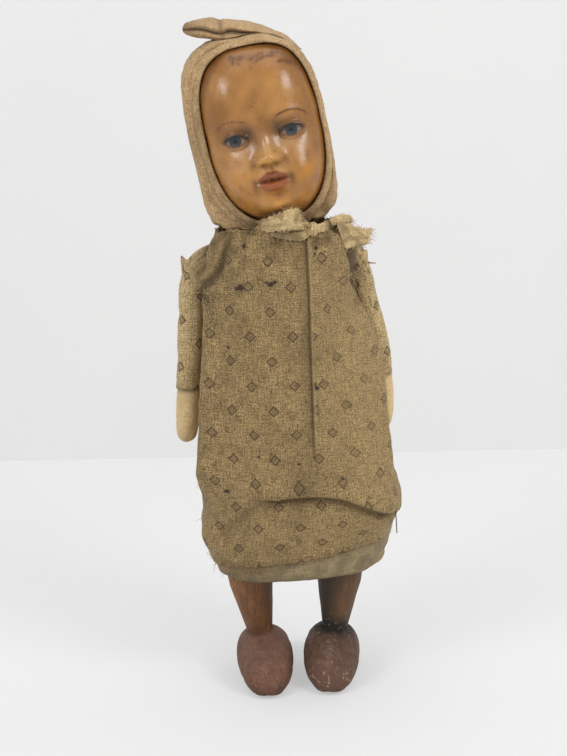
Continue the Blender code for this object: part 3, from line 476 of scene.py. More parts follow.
PRINT = cloth_material("printed cotton", (86, 67, 34), (185, 157, 108), printed=True)
SLEEVE = cloth_material("sleeve cotton", (124, 103, 65), (228, 200, 150), printed=True)
HOOD = cloth_material("hood cotton", (152, 122, 84), (202, 170, 126), soil_and_shading=0.3, use_uv=False)
UNDER = cloth_material("petticoat cotton", (120, 103, 72), (168, 150, 114), soil_and_shading=0.3, speckle=0.6)
PALE = cloth_material("arm cotton", (198, 168, 120), (231, 204, 155), soil_and_shading=0.2, speckle=0.5, use_uv=False)
PINK = cloth_material("body cotton", (168, 128, 108), (198, 160, 138), soil_and_shading=0.3, speckle=0.5, use_uv=False)
BOW = cloth_material("bow cotton", (164, 137, 90), (224, 198, 148), soil_and_shading=0.15, speckle=0.6, use_uv=False)
THREAD = thread_material("print thread", (150, 124, 82))
# Also the painted shade seen through the moth holes.
DARK_THREAD_AND_SHADE = thread_material("dark thread and hole shade", (52, 40, 28))
PALE_THREAD = thread_material("pale thread", (186, 160, 116))
WAXED_THREAD = thread_material("waxed thread", (86, 62, 36))
FACE = face_material()
LEG_WOOD = wood_material("leg wood", (92, 54, 23), (139, 93, 48), 260.0, 0.62, (70, 44, 24), 0.35)
SHOE_WOOD = wood_material("shoe wood", (94, 60, 40), (136, 96, 70), 210.0, 0.72, (92, 68, 60), 0.4, 1.0)
RAW_WOOD = wood_material("raw wood", (150, 118, 80), (186, 152, 110), 200.0, 0.7, (110, 84, 58), 0.4)
IRON = iron_material()


def layer(paint, amount, tint):
    """Lays a coat of paint over what is there."""
    share = np.clip(amount, 0, 1)[..., None]
    old_colour, old_amount = paint[..., :3].copy(), paint[..., 3:].copy()
    total = share + old_amount * (1 - share)
    blended = np.array(tint) * share + old_colour * old_amount * (1 - share)
    paint[..., :3] = np.where(total > 0, blended / np.maximum(total, 1e-6), 0)
    paint[..., 3:] = total


def marks_and_shading_of(shape, spots):
    """Marks laid over each other on a surface, each an amount and a tint: stains, wear and holes, and also
    painted shade and painted highlights.
    """
    paint = np.zeros(shape + (4,))
    for amount, tint in spots:
        layer(paint, np.broadcast_to(amount, shape), srgb(*tint))
    return {"soil_and_shading": paint}


# Dress and petticoat


PLEAT_X = 12.3 * MM
PLEAT = math.radians(15)
ARMHOLE = ((-27.5, 245), (-39.5, 213))
# Round the dress by degrees: the slack fold's height and its share, the sweep's height, the hem's lift
TUCK_LINE = (
    (-60, 103), (-25, 108), (-14, 112.6), (-6, 116.4), (2, 118), (10, 117.8),
    (20, 116), (33, 111), (52, 103.6), (75, 97.5), (100, 94.5), (180, 94),
)
TUCK_SHARE = ((-180, 1), (45, 1), (82, 0.3), (112, 0), (180, 0))
SWEEP_LINE = ((-70, 84), (-45, 92), (-28, 101), (-14, 110), (0, 116))
HEM_LIFT = (
    (-180, 0), (-110, -0.5), (-60, 0.2), (-30, 1.0), (-8, 3.0), (12, 6.0),
    (35, 9.4), (60, 10.4), (90, 9.6), (130, 5.0), (180, 0),
)
# How far the neckline rises, at what angle, and over what spread
NECK_RISES = ((2.6, -25, 40), (1.2, 40, 26), (-3.0, 95, 34), (-1.6, -95, 25))


def dress_half_width(z):
    hip_half = 47.6 * MM
    hand_half = SHOULDER_X + ARM_LENGTH * math.tan(ARM_LEAN) - HAND_RADIUS - 1.2 * MM
    stations = [
        (PETTICOAT_HEM, 43.3 * MM),
        (HEM, 44.5 * MM),
        ((HEM + HIP.z) / 2, hip_half - 0.3 * MM),
        (HIP.z, hip_half),
        (HAND_LEVEL, hand_half),
        (SHOULDER_HEIGHT - SLEEVE_LENGTH / 2, 39.7 * MM),
        (SHOULDER_HEIGHT, 38.2 * MM),
        (WING_HEIGHT, 38.1 * MM),
        (NECKLINE, 34.2 * MM),
    ]
    return eased(stations, z)


def dress_half_depth(z):
    stations = [
        (PETTICOAT_HEM, 37.4 * MM),
        (HEM, 38 * MM),
        (HIP.z + 8 * MM, 42 * MM),
        (SHOULDER_HEIGHT - 32 * MM, 37 * MM),
        (SHOULDER_HEIGHT, 34.8 * MM),
        (NECKLINE, 29 * MM),
    ]
    return eased(stations, z)


def dress_squareness(z):
    return np.interp(z, [HAND_LEVEL, SHOULDER_HEIGHT], [2.8, 2.25])


def near(angle, degrees, spread):
    return bump(angle_from(angle, math.radians(degrees)), math.radians(spread))


def skirt_billow(angle, z):
    low_share = 1 - step(z, HIP.z, HAND_LEVEL - 2.8 * MM)
    low = low_share * near(angle, 82, 45)
    below_shoulder = [(-58, 1.0), (-44, 0.87), (-32, 0.62), (-20, 0.27), (-11, 0.0)]
    fall = eased(below_shoulder, (z - SHOULDER_HEIGHT) / MM)
    high = fall * (1 - low_share) * near(angle, 69, 21)
    hem_share = eased([(PETTICOAT_HEM, 0.62), (HIP.z - 6 * MM, 0.9), (HIP.z + 8 * MM, 0.84)], z)
    return 10 * MM * (low * hem_share + high)


def front_edge(angle, z):
    """The doll's right front edge, which stands out before the sleeve and hides its inner side."""
    top = SHOULDER_HEIGHT - 4 * MM
    span = between(z, HAND_LEVEL - 30 * MM, HAND_LEVEL - 4 * MM, top, top + 12 * MM)
    above_hand = [(20, 1.0), (50, 0.92), (74, 0.76), (88, 1.15)]
    narrowing = eased(above_hand, (z - HAND_LEVEL) / MM)
    return 6.4 * MM * span * narrowing * near(angle, -64, 15)


# The front panel's edge at the doll's left arm: height, x
LEFT_EDGE = (
    (165, 48.4), (178, 46.8), (190, 44.4), (202, 40.6),
    (211, 36.5), (220, 33.3), (231, 31.0), (243, 28.1),
)


def past_left_edge(x, z):
    """Millimetres beyond the front panel's edge at the doll's left arm, and the edge's share there."""
    off = x / MM - eased(LEFT_EDGE, z / MM)
    share = step(z, SHOULDER_HEIGHT - 45 * MM, SHOULDER_HEIGHT - 12 * MM)
    return off, share


def shoulder_wing(angle, z):
    """A pointed flap of cloth over each sleeve's head."""
    rise = step(z, WING_HEIGHT, WING_HEIGHT + 4 * MM)
    fall = (1 - np.clip((z - WING_HEIGHT - 0.8 * MM) / (NECKLINE - WING_HEIGHT), 0, 1)) ** 3.2
    sides = 2.4 * MM * near(angle, -82, 26) + 2.0 * MM * near(angle, 90, 26)
    return rise * fall * sides


def by_degrees(stations, angle):
    """A line through stations in degrees and millimetres, at angles in radians."""
    return eased(stations, np.degrees(angle)) * MM


def base_point(angle, z, out):
    squareness = dress_squareness(z)
    out = out + skirt_billow(angle, z) + shoulder_wing(angle, z)
    x = dress_half_width(z) * power(np.sin(angle), squareness) + out * np.sin(angle)
    y = -dress_half_depth(z) * power(np.cos(angle), squareness) - out * np.cos(angle)
    return stacked(x, y, z)


def pleat_angle(z):
    """Where, round the dress, the overlap's straight edge lies at a height."""
    return np.arcsin((PLEAT_X / dress_half_width(z)) ** (dress_squareness(z) / 2))


def line_side(x, z, start, end):
    """How far a point lies beside a line on the front, and how far along it."""
    way = np.array(end, float) - np.array(start, float)
    length = np.hypot(*way)
    along = ((x - start[0]) * way[0] + (z - start[1]) * way[1]) / length ** 2
    beside = ((x - start[0]) * way[1] - (z - start[1]) * way[0]) / length
    return beside, along


def dress_detail(angle, z, points):
    """Folds, gathers and wrinkles, outward from the plain shape."""
    x = points[..., 0]
    in_front = step(-points[..., 1], 2 * MM, 12 * MM)
    beside = (x - PLEAT_X) * in_front + (1 - in_front) * 0.1
    share = step(z, HAND_LEVEL - 16 * MM, HAND_LEVEL + 22 * MM)
    valley = -0.5 * MM * bump(beside + 1.0 * MM, 1.6 * MM)
    flap = 1.8 * MM * step(beside, -0.15 * MM, 0.15 * MM) * bump(np.maximum(0, beside - 1 * MM), 9 * MM)
    out = in_front * share * (valley + flap)
    soft = step(z, HEM + 36 * MM, HEM + 58 * MM) * (1 - share)
    out += in_front * soft * 0.9 * MM * (bump(beside - 3 * MM, 7 * MM) - bump(beside + 4 * MM, 5 * MM))
    gather_share = step(z, NECKLINE - 34 * MM, NECKLINE) ** 1.4
    ripple = np.sin(21 * angle + 1.6 * np.sin(3 * angle)) + 0.7 * np.sin(34 * angle + 2 * np.sin(2 * angle))
    out += 0.8 * MM * gather_share * ripple
    off, along = line_side(x / MM, z / MM, *ARMHOLE)
    inside = between(along, -0.05, 0.15, 0.8, 1.15) * in_front
    ridge = 2.2 * MM * bump(off - 1.0, 4.0) * step(off, -0.35, 0.35)
    out += inside * (ridge - 1.3 * MM * bump(off + 1.6, 2.0))
    off, edge_share = past_left_edge(x, z)
    ridge = 1.6 * MM * bump(off + 2.0, 4.0) * (1 - step(off, -0.4, 0.8))
    sunk = 4.2 * MM * bump(off - 3.0, 4.5) * step(off, -0.4, 2.0)
    out += edge_share * in_front * (ridge - sunk)
    pressed = between(z, SHOULDER_HEIGHT - 44 * MM, SHOULDER_HEIGHT - 16 * MM, SHOULDER_HEIGHT, WING_HEIGHT)
    out -= 2.4 * MM * pressed * near(angle, 106, 22)
    drop = between(z, HEM + 38 * MM, HEM + 70 * MM, SHOULDER_HEIGHT - 5 * MM, NECKLINE)
    out += 1.1 * MM * drop * near(angle, 47, 24) * np.sin(angle_from(angle, PLEAT) * 14)
    out += 0.6 * MM * drop * np.sin(9 * angle + 0.8) * near(angle, -35, 40)
    out += 0.9 * MM * drop * np.sin(11 * angle) * near(angle, 180, 60)
    out -= 1.1 * MM * drop * bump(angle_from(angle, math.pi) * 38 * MM, 1.3 * MM)
    drawn_out = points * np.array([1, 1, 0.55])
    out += 0.42 * MM * waves(drawn_out, 34 * MM, 3) + 0.16 * MM * waves(points, 11 * MM, 4)
    out += front_edge(angle, z)
    right_low = between(z, HIP.z - 2 * MM, HIP.z + 14 * MM, HAND_LEVEL - 18 * MM, HAND_LEVEL + 25 * MM)
    out += 2.0 * MM * near(angle, -78, 26) * right_low
    hem_roll = 2.6 * MM * bump(z - HEM - 12 * MM, 8 * MM) - 0.8 * MM * bump(z - HEM - 24 * MM, 5 * MM)
    out += near(angle, -72, 30) * hem_roll
    drawn_in = (1 - 0.5 * near(angle, -90, 30)) * (1 - 0.75 * near(angle, 8, 48))
    out -= 4.6 * MM * step(z, NECKLINE - 10 * MM, NECKLINE) * drawn_in
    tucked = bump(z - NECKLINE, 9 * MM)
    return out + tucked * (2.2 * MM * near(angle, -62, 24) + 0.8 * MM * near(angle, 70, 24))


def keep_clear(angle, z, out):
    """Cloth beside an arm, and over the petticoat, isn't pushed into it."""
    beside = np.clip(1.5 * (near(angle, 110, 20) + near(angle, -97, 15)), 0, 1)
    beside = beside * between(z, HAND_LEVEL - 14 * MM, HAND_LEVEL - 4 * MM, WING_HEIGHT - 1 * MM, WING_HEIGHT)
    out = np.where(out > 0, out * (1 - beside), out)
    over_petticoat = 1 - step(z, HIP.z + 20 * MM, HIP.z + 34 * MM)
    return np.where(out < 0, out * (1 - 0.7 * over_petticoat), out)


def hem_lift(angle):
    return by_degrees(HEM_LIFT, angle) + 0.35 * MM * np.sin(9 * angle + 0.5) + 0.25 * MM * np.sin(19 * angle)


def around(count, extra_at=None):
    angles = full_turn(count, -math.pi)
    if extra_at is not None:
        close = np.radians(np.array([0.25, 0.6, 1.1, 1.8, 2.7, 3.8]))
        angles = np.sort(np.concatenate([angles, extra_at + close, extra_at - close, [extra_at]]))
    return angles


def spot(points, place, size):
    """A mark on the front of the dress at a place (x, z), in millimetres."""
    away = np.hypot(points[..., 0] - place[0] * MM, points[..., 2] - place[1] * MM)
    return bump(away, size * MM) * (points[..., 1] < 0)


# Moth holes on the front: x, z, size
HOLES = (
    (-21.5, 221.5, 1.6), (-23.5, 220.6, 0.8), (-6.6, 223.6, 1.3), (-4.2, 224.6, 1.0), (-8.6, 224.4, 0.7),
    (-19, 241, 0.9), (14.0, 170.5, 1.3), (13.2, 172.5, 0.9), (-29, 191, 0.8), (-33, 117, 1.2),
    (4, 132, 0.8), (26, 123, 0.7), (-16, 136, 0.7), (16.5, 239.5, 0.9), (15.8, 237, 0.7),
)


def dress_print(plain, angle, heights):
    """Where each point of the dress lies on its printed cloth, part of which the overlap hides."""
    closed = np.concatenate([plain, plain[:, :1]], 1)
    along = np.stack([run_along(ring[:, :2]) for ring in closed])
    middle = np.array([np.interp(0.0, angle[i], along[i, :-1]) for i in range(len(heights))])
    wrapped = np.append(angle, angle[:, :1] + 2 * math.pi, axis=1)
    hidden = eased(FOLD_DEPTH, heights / MM)[:, None] * MM
    lapped = -hidden * step(wrapped, PLEAT - 0.002, PLEAT + 0.002)
    return stacked(along - middle[:, None] - lapped + PRINT_SHIFT[0], heights[:, None] + PRINT_SHIFT[1])


def dress_marks(plain, points, angle, z, recess, sweep):
    """Dirt, stitches and moth holes; painted shade beside the pleat, in the folds and creases, round the
    holes and in the gap beside the left arm; painted highlights on the pleat's and the armhole seam's edges;
    and a paler patch on the right front.
    """
    patchy = 0.5 + 0.5 * waves(points, 9 * MM, 8)
    facing = step(-plain[..., 1], 0, 10 * MM)
    from_pleat = plain[..., 0] - PLEAT_X
    off, along_seam = line_side(plain[..., 0] / MM, z / MM, *ARMHOLE)
    by_seam = between(along_seam, -0.1, 0.1, 0.95, 1.2) * facing
    dirt_and_shade = [
        0.4 * bump(z - NECKLINE, 12 * MM) * patchy,
        # Painted shadow just left of the pleat's overlapping edge: narrow and dark, then broad and faint.
        0.85 * bump(from_pleat + 0.3 * MM, 0.42 * MM) * step(z, 125 * MM, 155 * MM) * facing,
        0.3 * bump(from_pleat + 2.4 * MM, 3.4 * MM) * step(z, 110 * MM, 150 * MM) * facing,
        0.25 * bump(z - HEM, 2.0 * MM),
        # Painted shade under the slack fold's lip, along the sweep's crease, and round the fold's top.
        0.55 * recess,
        0.3 * sweep,
        0.3 * bump(from_pleat + 7 * MM, 7 * MM) * bump(z - 118 * MM, 15 * MM) * facing,
        0.3 * near(angle, 180, 3.0),
        # Painted shade in the armhole seam's crease.
        0.85 * by_seam * bump(off + 1.6, 1.9),
        0.16 * step(-from_pleat, 2 * MM, 9 * MM) * facing * patchy,
        0.45 * bump(z - HEM - 2.4 * MM, 0.4 * MM) * step(np.sin(140 * angle), -0.4, 0.4),
    ]
    spots = [(amount, (70, 54, 32)) for amount in dirt_and_shade]
    # Painted shade round each moth hole, where the shaded inside shows.
    spots += [(0.5 * spot(points, place, size), (60, 44, 28)) for *place, size in HOLES]
    # Painted shade in the gap past the front panel's edge at the left arm.
    off_left, edge_share = past_left_edge(plain[..., 0], z)
    gap_shade = between(off_left, -0.2, 1.2, 5, 11) * step(-plain[..., 1], -4 * MM, 6 * MM)
    gap_shade = gap_shade * edge_share * step(z, SHOULDER_HEIGHT - 18 * MM, SHOULDER_HEIGHT - 4 * MM)
    # Painted highlight along the pleat's edge.
    pleat_edge_highlight = bump(from_pleat - 0.5 * MM, 0.45 * MM) * step(z, 130 * MM, 150 * MM) * facing
    # A paler patch on the right front.
    paler_right_front = near(angle, 50, 28) * between(z, HEM + 20 * MM, HEM + 60 * MM, SHOULDER_HEIGHT - 5 * MM, NECKLINE)
    return spots + [
        (0.85 * gap_shade, (48, 34, 17)),
        (0.4 * pleat_edge_highlight, (178, 152, 110)),
        (0.14 * paler_right_front, (196, 168, 118)),
        # Painted highlight on the armhole seam's ridge.
        (0.4 * by_seam * bump(off - 0.4, 0.4), (180, 152, 108)),
    ]


def make_dress():
    columns = around(236, PLEAT)
    skirt = np.linspace(HEM, SHOULDER_HEIGHT, 122)
    top = np.concatenate([
        np.linspace(SHOULDER_HEIGHT, WING_HEIGHT, 6)[1:],
        np.linspace(WING_HEIGHT + 0.15 * MM, WING_HEIGHT + 3 * MM, 8),
        np.linspace(WING_HEIGHT + 3 * MM, NECKLINE, 16)[1:],
    ])
    fine = np.linspace(HIP.z - 5 * MM, HIP.z + 15 * MM, 34)
    heights = np.unique(np.concatenate([skirt, fine, top]))
    column, z = np.meshgrid(columns, heights)
    angle = column + (pleat_angle(z) - PLEAT) * near(column, 15, 38)
    plain = base_point(angle, z, 0.0)
    out = keep_clear(angle, z, dress_detail(angle, z, plain))
    above = z - by_degrees(TUCK_LINE, angle)
    tuck_share = step(angle, math.radians(-16), math.radians(-3)) * eased(TUCK_SHARE, np.degrees(angle))
    lip = step(above, -0.7 * MM, 0.7 * MM)
    swell = tuck_share * lip * bump(np.maximum(0, above), 11 * MM)
    recess = tuck_share * bump(above + 3.4 * MM, 4.2 * MM)
    past_sweep = z - by_degrees(SWEEP_LINE, angle)
    sweep_share = between(angle, *np.radians([-62, -34, -12, -2]))
    sweep = sweep_share * bump(past_sweep, 4.5 * MM)
    out = out + 4.2 * MM * swell - 0.7 * MM * recess - 1.1 * MM * sweep
    out = out + 1.2 * MM * sweep_share * bump(past_sweep - 9 * MM, 6 * MM)
    hem_fold = 0.3 * MM * (1 - step(z - HEM, 4.2 * MM, 4.8 * MM))
    out = out + hem_fold - 0.25 * MM * bump(z - HEM - 4.9 * MM, 0.7 * MM)
    points = base_point(angle, z, out)
    points[..., 2] -= tuck_share * lip * 3.4 * MM * bump(np.maximum(0, above), 5 * MM)
    points[..., 2] += hem_lift(angle) * (1 - step(z, HEM, HEM + 30 * MM))
    lift = near(angle, -90, 12) * 1.6 * MM + near(angle, 97, 12) * 1.2 * MM
    wing = np.clip(shoulder_wing(angle, z) / (12 * MM), 0, 1)
    points[..., 2] += lift * wing ** 2
    ragged = np.random.default_rng(5).normal(size=angle.shape[1]) * 0.35 * MM
    raised = step(z, NECKLINE - 8 * MM, NECKLINE)
    points[..., 2] += raised * sum(rise * MM * near(angle, *where) for rise, *where in NECK_RISES)
    points[-1, :, 2] += ragged + 0.6 * MM * np.sin(13 * columns)
    points[0, :, 2] += 0.6 * ragged
    uv = dress_print(plain, angle, heights)
    spots = dress_marks(plain, points, angle, z, recess, sweep)
    dress = grid_object("dress_cloth", points, uv, wrap=True, colours=marks_and_shading_of(z.shape, spots))
    add_wall(dress, 0.7 * MM)
    paint_with(dress, PRINT)
    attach(dress, "torso")
    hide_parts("dress")
    return points


def make_petticoat():
    angles = around(160)
    full = HIP.z + 16.5 * MM
    low = np.linspace(PETTICOAT_HEM, full, 60)
    high = np.linspace(full, WAIST, 24)[1:]
    angle, z = np.meshgrid(angles, low)
    inset = 2.2 * MM
    plain = base_point(angle, z, -inset)
    wrinkles = 0.3 * MM * waves(plain, 18 * MM, 11) + 0.15 * MM * waves(plain, 6 * MM, 12)
    up = z - PETTICOAT_HEM
    roll = 0.6 * MM * bump(up - 0.9 * MM, 1.2 * MM) - 0.35 * MM * bump(up - 3.0 * MM, 0.7 * MM)
    skirt = base_point(angle, z, -inset + np.clip(wrinkles, -0.5 * MM, 0.4 * MM) + roll)
    lift = 0.4 * MM * np.sin(5 * angle) + 3.6 * MM * near(angle, 75, 42)
    skirt[..., 2] += lift * (1 - step(z, PETTICOAT_HEM, PETTICOAT_HEM + 14 * MM))
    share = step(high, full, WAIST)[:, None, None]
    half_width, half_depth = (half + 1.5 * MM for half in TORSO_HALF)
    waist = stacked(half_width * np.sin(angles), -half_depth * np.cos(angles))
    gathers = 1 + 0.012 * np.sin(24 * angles)[:, None]
    cone = skirt[-1][None, :, :2] * (1 - share) + (waist * gathers)[None] * share
    cone = np.concatenate([cone, np.broadcast_to(high[:, None, None], cone.shape[:2] + (1,))], -1)
    points = np.concatenate([skirt, cone])
    heights = np.concatenate([low, high])
    uv = stacked(np.append(angles, math.pi)[None, :] * 44 * MM, heights[:, None])
    level = points[..., 2]
    patchy = np.clip(0.4 + 0.6 * waves(points, 8 * MM, 13), 0, 1)
    spots = [
        (0.5 * bump(level - PETTICOAT_HEM, 2.6 * MM), (66, 56, 42)),
        (0.45 * patchy * bump(level - HEM, 9 * MM), (84, 74, 56)),
    ]
    petticoat = grid_object("petticoat_cloth", points, uv, wrap=True, colours=marks_and_shading_of(level.shape, spots))
    add_wall(petticoat, 0.8 * MM)
    paint_with(petticoat, UNDER)
    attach(petticoat, "torso")
    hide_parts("petticoat")


# Torso


# Up the torso: share of its height, share of its full size
TORSO_WIDTHS = (
    (0, 0.6), (0.06, 0.88), (0.2, 1.0), (0.55, 1.0), (0.857, 1.04), (0.914, 1.04), (0.97, 0.95), (1.0, 0.8),
)
TORSO_DEPTHS = ((0, 0.6), (0.06, 0.88), (0.2, 1.0), (0.78, 1.0), (0.914, 0.92), (1.0, 0.7))


def make_torso():
    angles = around(96)
    heights = np.linspace(0, 1, 60)
    width = TORSO_HALF[0] * eased(TORSO_WIDTHS, heights)
    depth = TORSO_HALF[1] * eased(TORSO_DEPTHS, heights)
    angle, share = np.meshgrid(angles, heights)
    z = TORSO_BOTTOM + share * (TORSO_TOP - TORSO_BOTTOM)
    points = stacked(width[:, None] * np.sin(angle), -depth[:, None] * np.cos(angle), z)
    dent = 1 - 0.012 * np.abs(waves(points, 26 * MM, 21))
    points[..., :2] *= dent[..., None]
    torso = grid_object("torso_padding", points, wrap=True, caps="both")
    paint_with(torso, PINK)
    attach(torso, "torso")
    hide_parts("stuffed_torso")


# Arms


def arm_matrix(sign):
    place = Vector((sign * SHOULDER_X, (13 if sign > 0 else -1) * MM, SHOULDER_HEIGHT))
    return Matrix.Translation(place) @ Matrix.Rotation(-sign * ARM_LEAN, 4, "Y")


def to_world(points, matrix):
    turn = np.array(matrix.to_3x3())
    return points @ turn.T + np.array(matrix.translation)


SLEEVE_BEND = math.radians(76)


def arm_offset(side, level):
    """How far out of its straight line the arm lies: the right hand hangs out, the left shoulder in."""
    if side == "right":
        return -3.2 * MM * np.minimum(level, 0) / ARM_LENGTH
    return -6.0 * MM * step(level, -60 * MM, 0)


def arm_thinning(side, level):
    return 1 - (0.15 if side == "left" else 0.0) * step(level, -40 * MM, -4 * MM)


# The shade in the fold at a sleeve's head: angle, spread, where it begins and is full, amount
HEAD_SHADE = {"right": (0, 50, 0.25, 0.6, 0.6), "left": (-25, 62, 0.05, 0.45, 0.75)}
# The torn point at a sleeve's head: height, and degrees in front of the arm's outside
SPIKE = {"right": (6.0 * MM, 18), "left": (4.0 * MM, 40)}


def make_sleeve(side, sign, dress):
    """A straight tube up to the shoulder, bent inward there and sewn round the armhole."""
    angles = around(84)
    foot = 7 * MM
    level = np.linspace(-SLEEVE_LENGTH, -foot, 60)
    bent = np.linspace(0, 1, 30)[1:]
    share = np.concatenate([np.zeros(len(level)), bent])[:, None]
    centre_z = np.concatenate([level, -foot + 13.5 * MM * bent ** 0.9])[:, None]
    tube = np.linspace(6.6 * MM, SLEEVE_RADIUS - 0.1 * MM, len(level))
    radius = np.concatenate([tube, SLEEVE_RADIUS + 4.4 * MM * bent ** 1.3])[:, None]
    angle = np.broadcast_to(angles[None, :], (len(share), len(angles)))
    pucker = step(share, 0.1, 0.6)
    length = centre_z + SLEEVE_LENGTH
    fold = np.sin(11 * angle + 3.0 * np.sin(2 * angle) + 5 * share)
    slanted = np.sin(2 * angle + length / (5.2 * MM)) * bump(length - SLEEVE_LENGTH, 24 * MM)
    flat = stacked(radius * np.sin(angle), -radius * np.cos(angle), centre_z)
    crease = np.minimum(0, waves(flat * np.array([1, 1, 0.8]), 13 * MM, 31 + sign))
    cuff = -0.3 * MM * bump(length - 4 * MM, 0.8 * MM)
    ring = radius + 0.4 * MM * pucker * fold + 0.3 * MM * np.minimum(0, slanted)
    ring = ring + 0.4 * MM * crease * (1 - share) + cuff
    outward, back = ring * np.sin(angle), -ring * np.cos(angle) * (1 - 0.16 * share)
    tilt = SLEEVE_BEND * share
    spike, spike_at = SPIKE[side]
    ear = spike * bump(share - 0.4, 0.13) * near(angle, 90 - spike_at, 12) ** 1.5
    x = outward * arm_thinning(side, centre_z) * np.cos(tilt) - 7.2 * MM * share ** 1.2
    x = x + 0.35 * ear + arm_offset(side, centre_z)
    z = centre_z + outward * np.sin(tilt) + 1.25 * ear
    points = to_world(stacked(sign * x, back, z), arm_matrix(sign))
    sewn = dress.reshape(-1, 3)
    nearest = np.array([sewn[np.argmin(np.linalg.norm(sewn - end, axis=1))] for end in points[-1]])
    points += (share ** 4)[..., None] * (nearest - points[-1])[None]
    if sign < 0:
        points, fold, angle = points[:, ::-1], fold[:, ::-1], angle[:, ::-1]
    across = np.append(angles, math.pi) * 6.8 * MM + 5 * MM * sign
    uv = stacked(across[None, :], run_along(points[:, len(angles) // 4])[:, None])
    low = np.broadcast_to(length, angle.shape)
    seam = np.broadcast_to(share, angle.shape)
    middle, spread, begins, ends, amount = HEAD_SHADE[side]
    spots = [
        (0.45 * bump(low, 1.5 * MM), (80, 62, 42)),
        # Painted shade in the pucker's folds, and where the sleeve is sewn to the dress.
        (0.18 * np.clip(-fold, 0, 1) * step(seam, 0.1, 0.5), (70, 52, 34)),
        (0.6 * bump(seam - 1, 0.08), (62, 46, 30)),
        (amount * near(angle, middle, spread) * step(seam, begins, ends), (92, 72, 42)),
    ]
    colours = marks_and_shading_of(low.shape, spots)
    sleeve = grid_object(f"{side}_sleeve_cloth", points, uv, wrap=True, colours=colours)
    add_wall(sleeve, 0.55 * MM)
    paint_with(sleeve, SLEEVE)
    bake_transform(sleeve)
    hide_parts(f"{side}_sleeve")


def make_hand(side, sign):
    """The stuffed arm in its sleeve, and the mitten hand that shows below it."""
    angles = around(56)
    top = 3.0 * MM
    dome = np.linspace(0.05, math.pi / 2, 10)
    stations = [
        (-ARM_LENGTH, 0.4 * MM),
        (-ARM_LENGTH + 0.5 * MM, 1.9 * MM),
        (-ARM_LENGTH + 1.7 * MM, 3.6 * MM),
        (-ARM_LENGTH + 4.2 * MM, 5.1 * MM),
        (-ARM_LENGTH + 9 * MM, 5.9 * MM),
        (-SLEEVE_LENGTH - 8 * MM, 6.2 * MM),
        (-SLEEVE_LENGTH - 1 * MM, 5.9 * MM),
        (-SLEEVE_LENGTH + 3 * MM, 5.4 * MM),
        (-22 * MM, SLEEVE_RADIUS - 1.5 * MM),
        (-8 * MM, 4.6 * MM),
        (0, top),
    ]
    low = np.linspace(-ARM_LENGTH, 0, 80)
    level = np.concatenate([low, top * np.cos(dome[::-1])[1:]])
    radius = np.concatenate([eased(stations, low), top * np.sin(dome[::-1])[1:]])
    angle, level2 = np.meshgrid(angles, level)
    radius2 = np.broadcast_to(radius[:, None], angle.shape)
    points = stacked(radius2 * np.sin(angle), -radius2 * np.cos(angle), level2)
    below = 1 - step(level2, -SLEEVE_LENGTH - 6 * MM, -SLEEVE_LENGTH)
    dent = 0.35 * MM * np.minimum(0, waves(points, 13 * MM, 41 + sign)) * below
    seam = -0.35 * MM * bump(angle_from(angle, math.radians(90)) * 5 * MM, 0.5 * MM) * below
    points[..., :2] *= (1 + (dent + seam) / np.maximum(radius2, 1 * MM))[..., None]
    points[..., 0] = points[..., 0] * arm_thinning(side, level2) + sign * arm_offset(side, level2)
    points = to_world(points, arm_matrix(sign))
    end = level2 + ARM_LENGTH
    spots = [
        (0.35 * bump(end, 6 * MM), (120, 96, 66)),
        # Painted shadow under the sleeve's cuff.
        (0.5 * bump(level2 + SLEEVE_LENGTH, 1.6 * MM), (90, 70, 48)),
    ]
    colours = marks_and_shading_of(level2.shape, spots)
    hand = grid_object(f"{side}_arm_padding", points, wrap=True, caps="both", colours=colours)
    paint_with(hand, PALE)
    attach(hand, f"{side}_arm")
    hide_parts(f"{side}_arm")


def make_stitch(side, sign):
    """The thread that sews an arm on: thick inside, and outside the sleeve a thin tail that droops."""
    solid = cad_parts[f"{side}_shoulder_thread"]
    places = np.array([solid.matrix_world @ vertex.co for vertex in solid.data.vertices])
    reach = sign * places[:, 0]
    inner = places[reach < reach.min() + 1.2 * MM].mean(0)
    outer = places[reach > reach.max() - 1.2 * MM].mean(0)
    share = np.linspace(0, 1, 28)
    tail = step(share, 0.6, 1.0)
    line = inner + share[:, None] * (outer - inner)
    line[:, 2] -= 1.3 * MM * tail ** 2
    radius = 0.9 * MM * (1 - 0.72 * step(share, 0.5, 0.95))
    turn = full_turn(12)
    ring = stacked(0 * turn, np.cos(turn), sign * np.sin(turn))
    points = line[:, None] + radius[:, None, None] * ring[None]
    stitch = grid_object(f"{side}_shoulder_stitch", points, wrap=True, caps="both")
    paint_with(stitch, WAXED_THREAD)
    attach(stitch, "torso")
    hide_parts(f"{side}_shoulder_thread")


# Head


EYES = (1.1 * MM, FACE_MIDDLE - 1.0 * MM)
EYE_X = 13.9
# Along the nose, from between the eyes: height, how far out
NOSE_RIDGE = (
    (-15.4, 0.0), (-14.2, 0.6), (-13.0, 3.4), (-11.6, 5.4), (-9.8, 6.2),
    (-7.0, 5.0), (-3, 2.6), (2, 1.4), (9, 0.4), (14, 0.0),
)
FACE_CENTRE = (1.3 * MM, FACE_MIDDLE - 2.0 * MM)
# Reaches are to the doll's right, its left, up and down, and corners follow as oblong takes them
FACE_REACH = (29.2 * MM, 28.8 * MM, 44.4 * MM, 44.2 * MM)
FACE_CORNERS = (3.0, 3.0, 2.35, 2.35)
HOOD_CENTRE = (-0.4 * MM, FACE_MIDDLE)
HOOD_REACH = (36.4 * MM, 33.0 * MM, 47.0 * MM, 48.0 * MM)
HOOD_CORNERS = (3.3, 2.7, 6.5, 5.0)
HEAD_MIDDLE = np.array([0, 8 * MM, FACE_MIDDLE])
HOOD_FRONT = -15.0 * MM
HOOD_BACK = 35.5 * MM


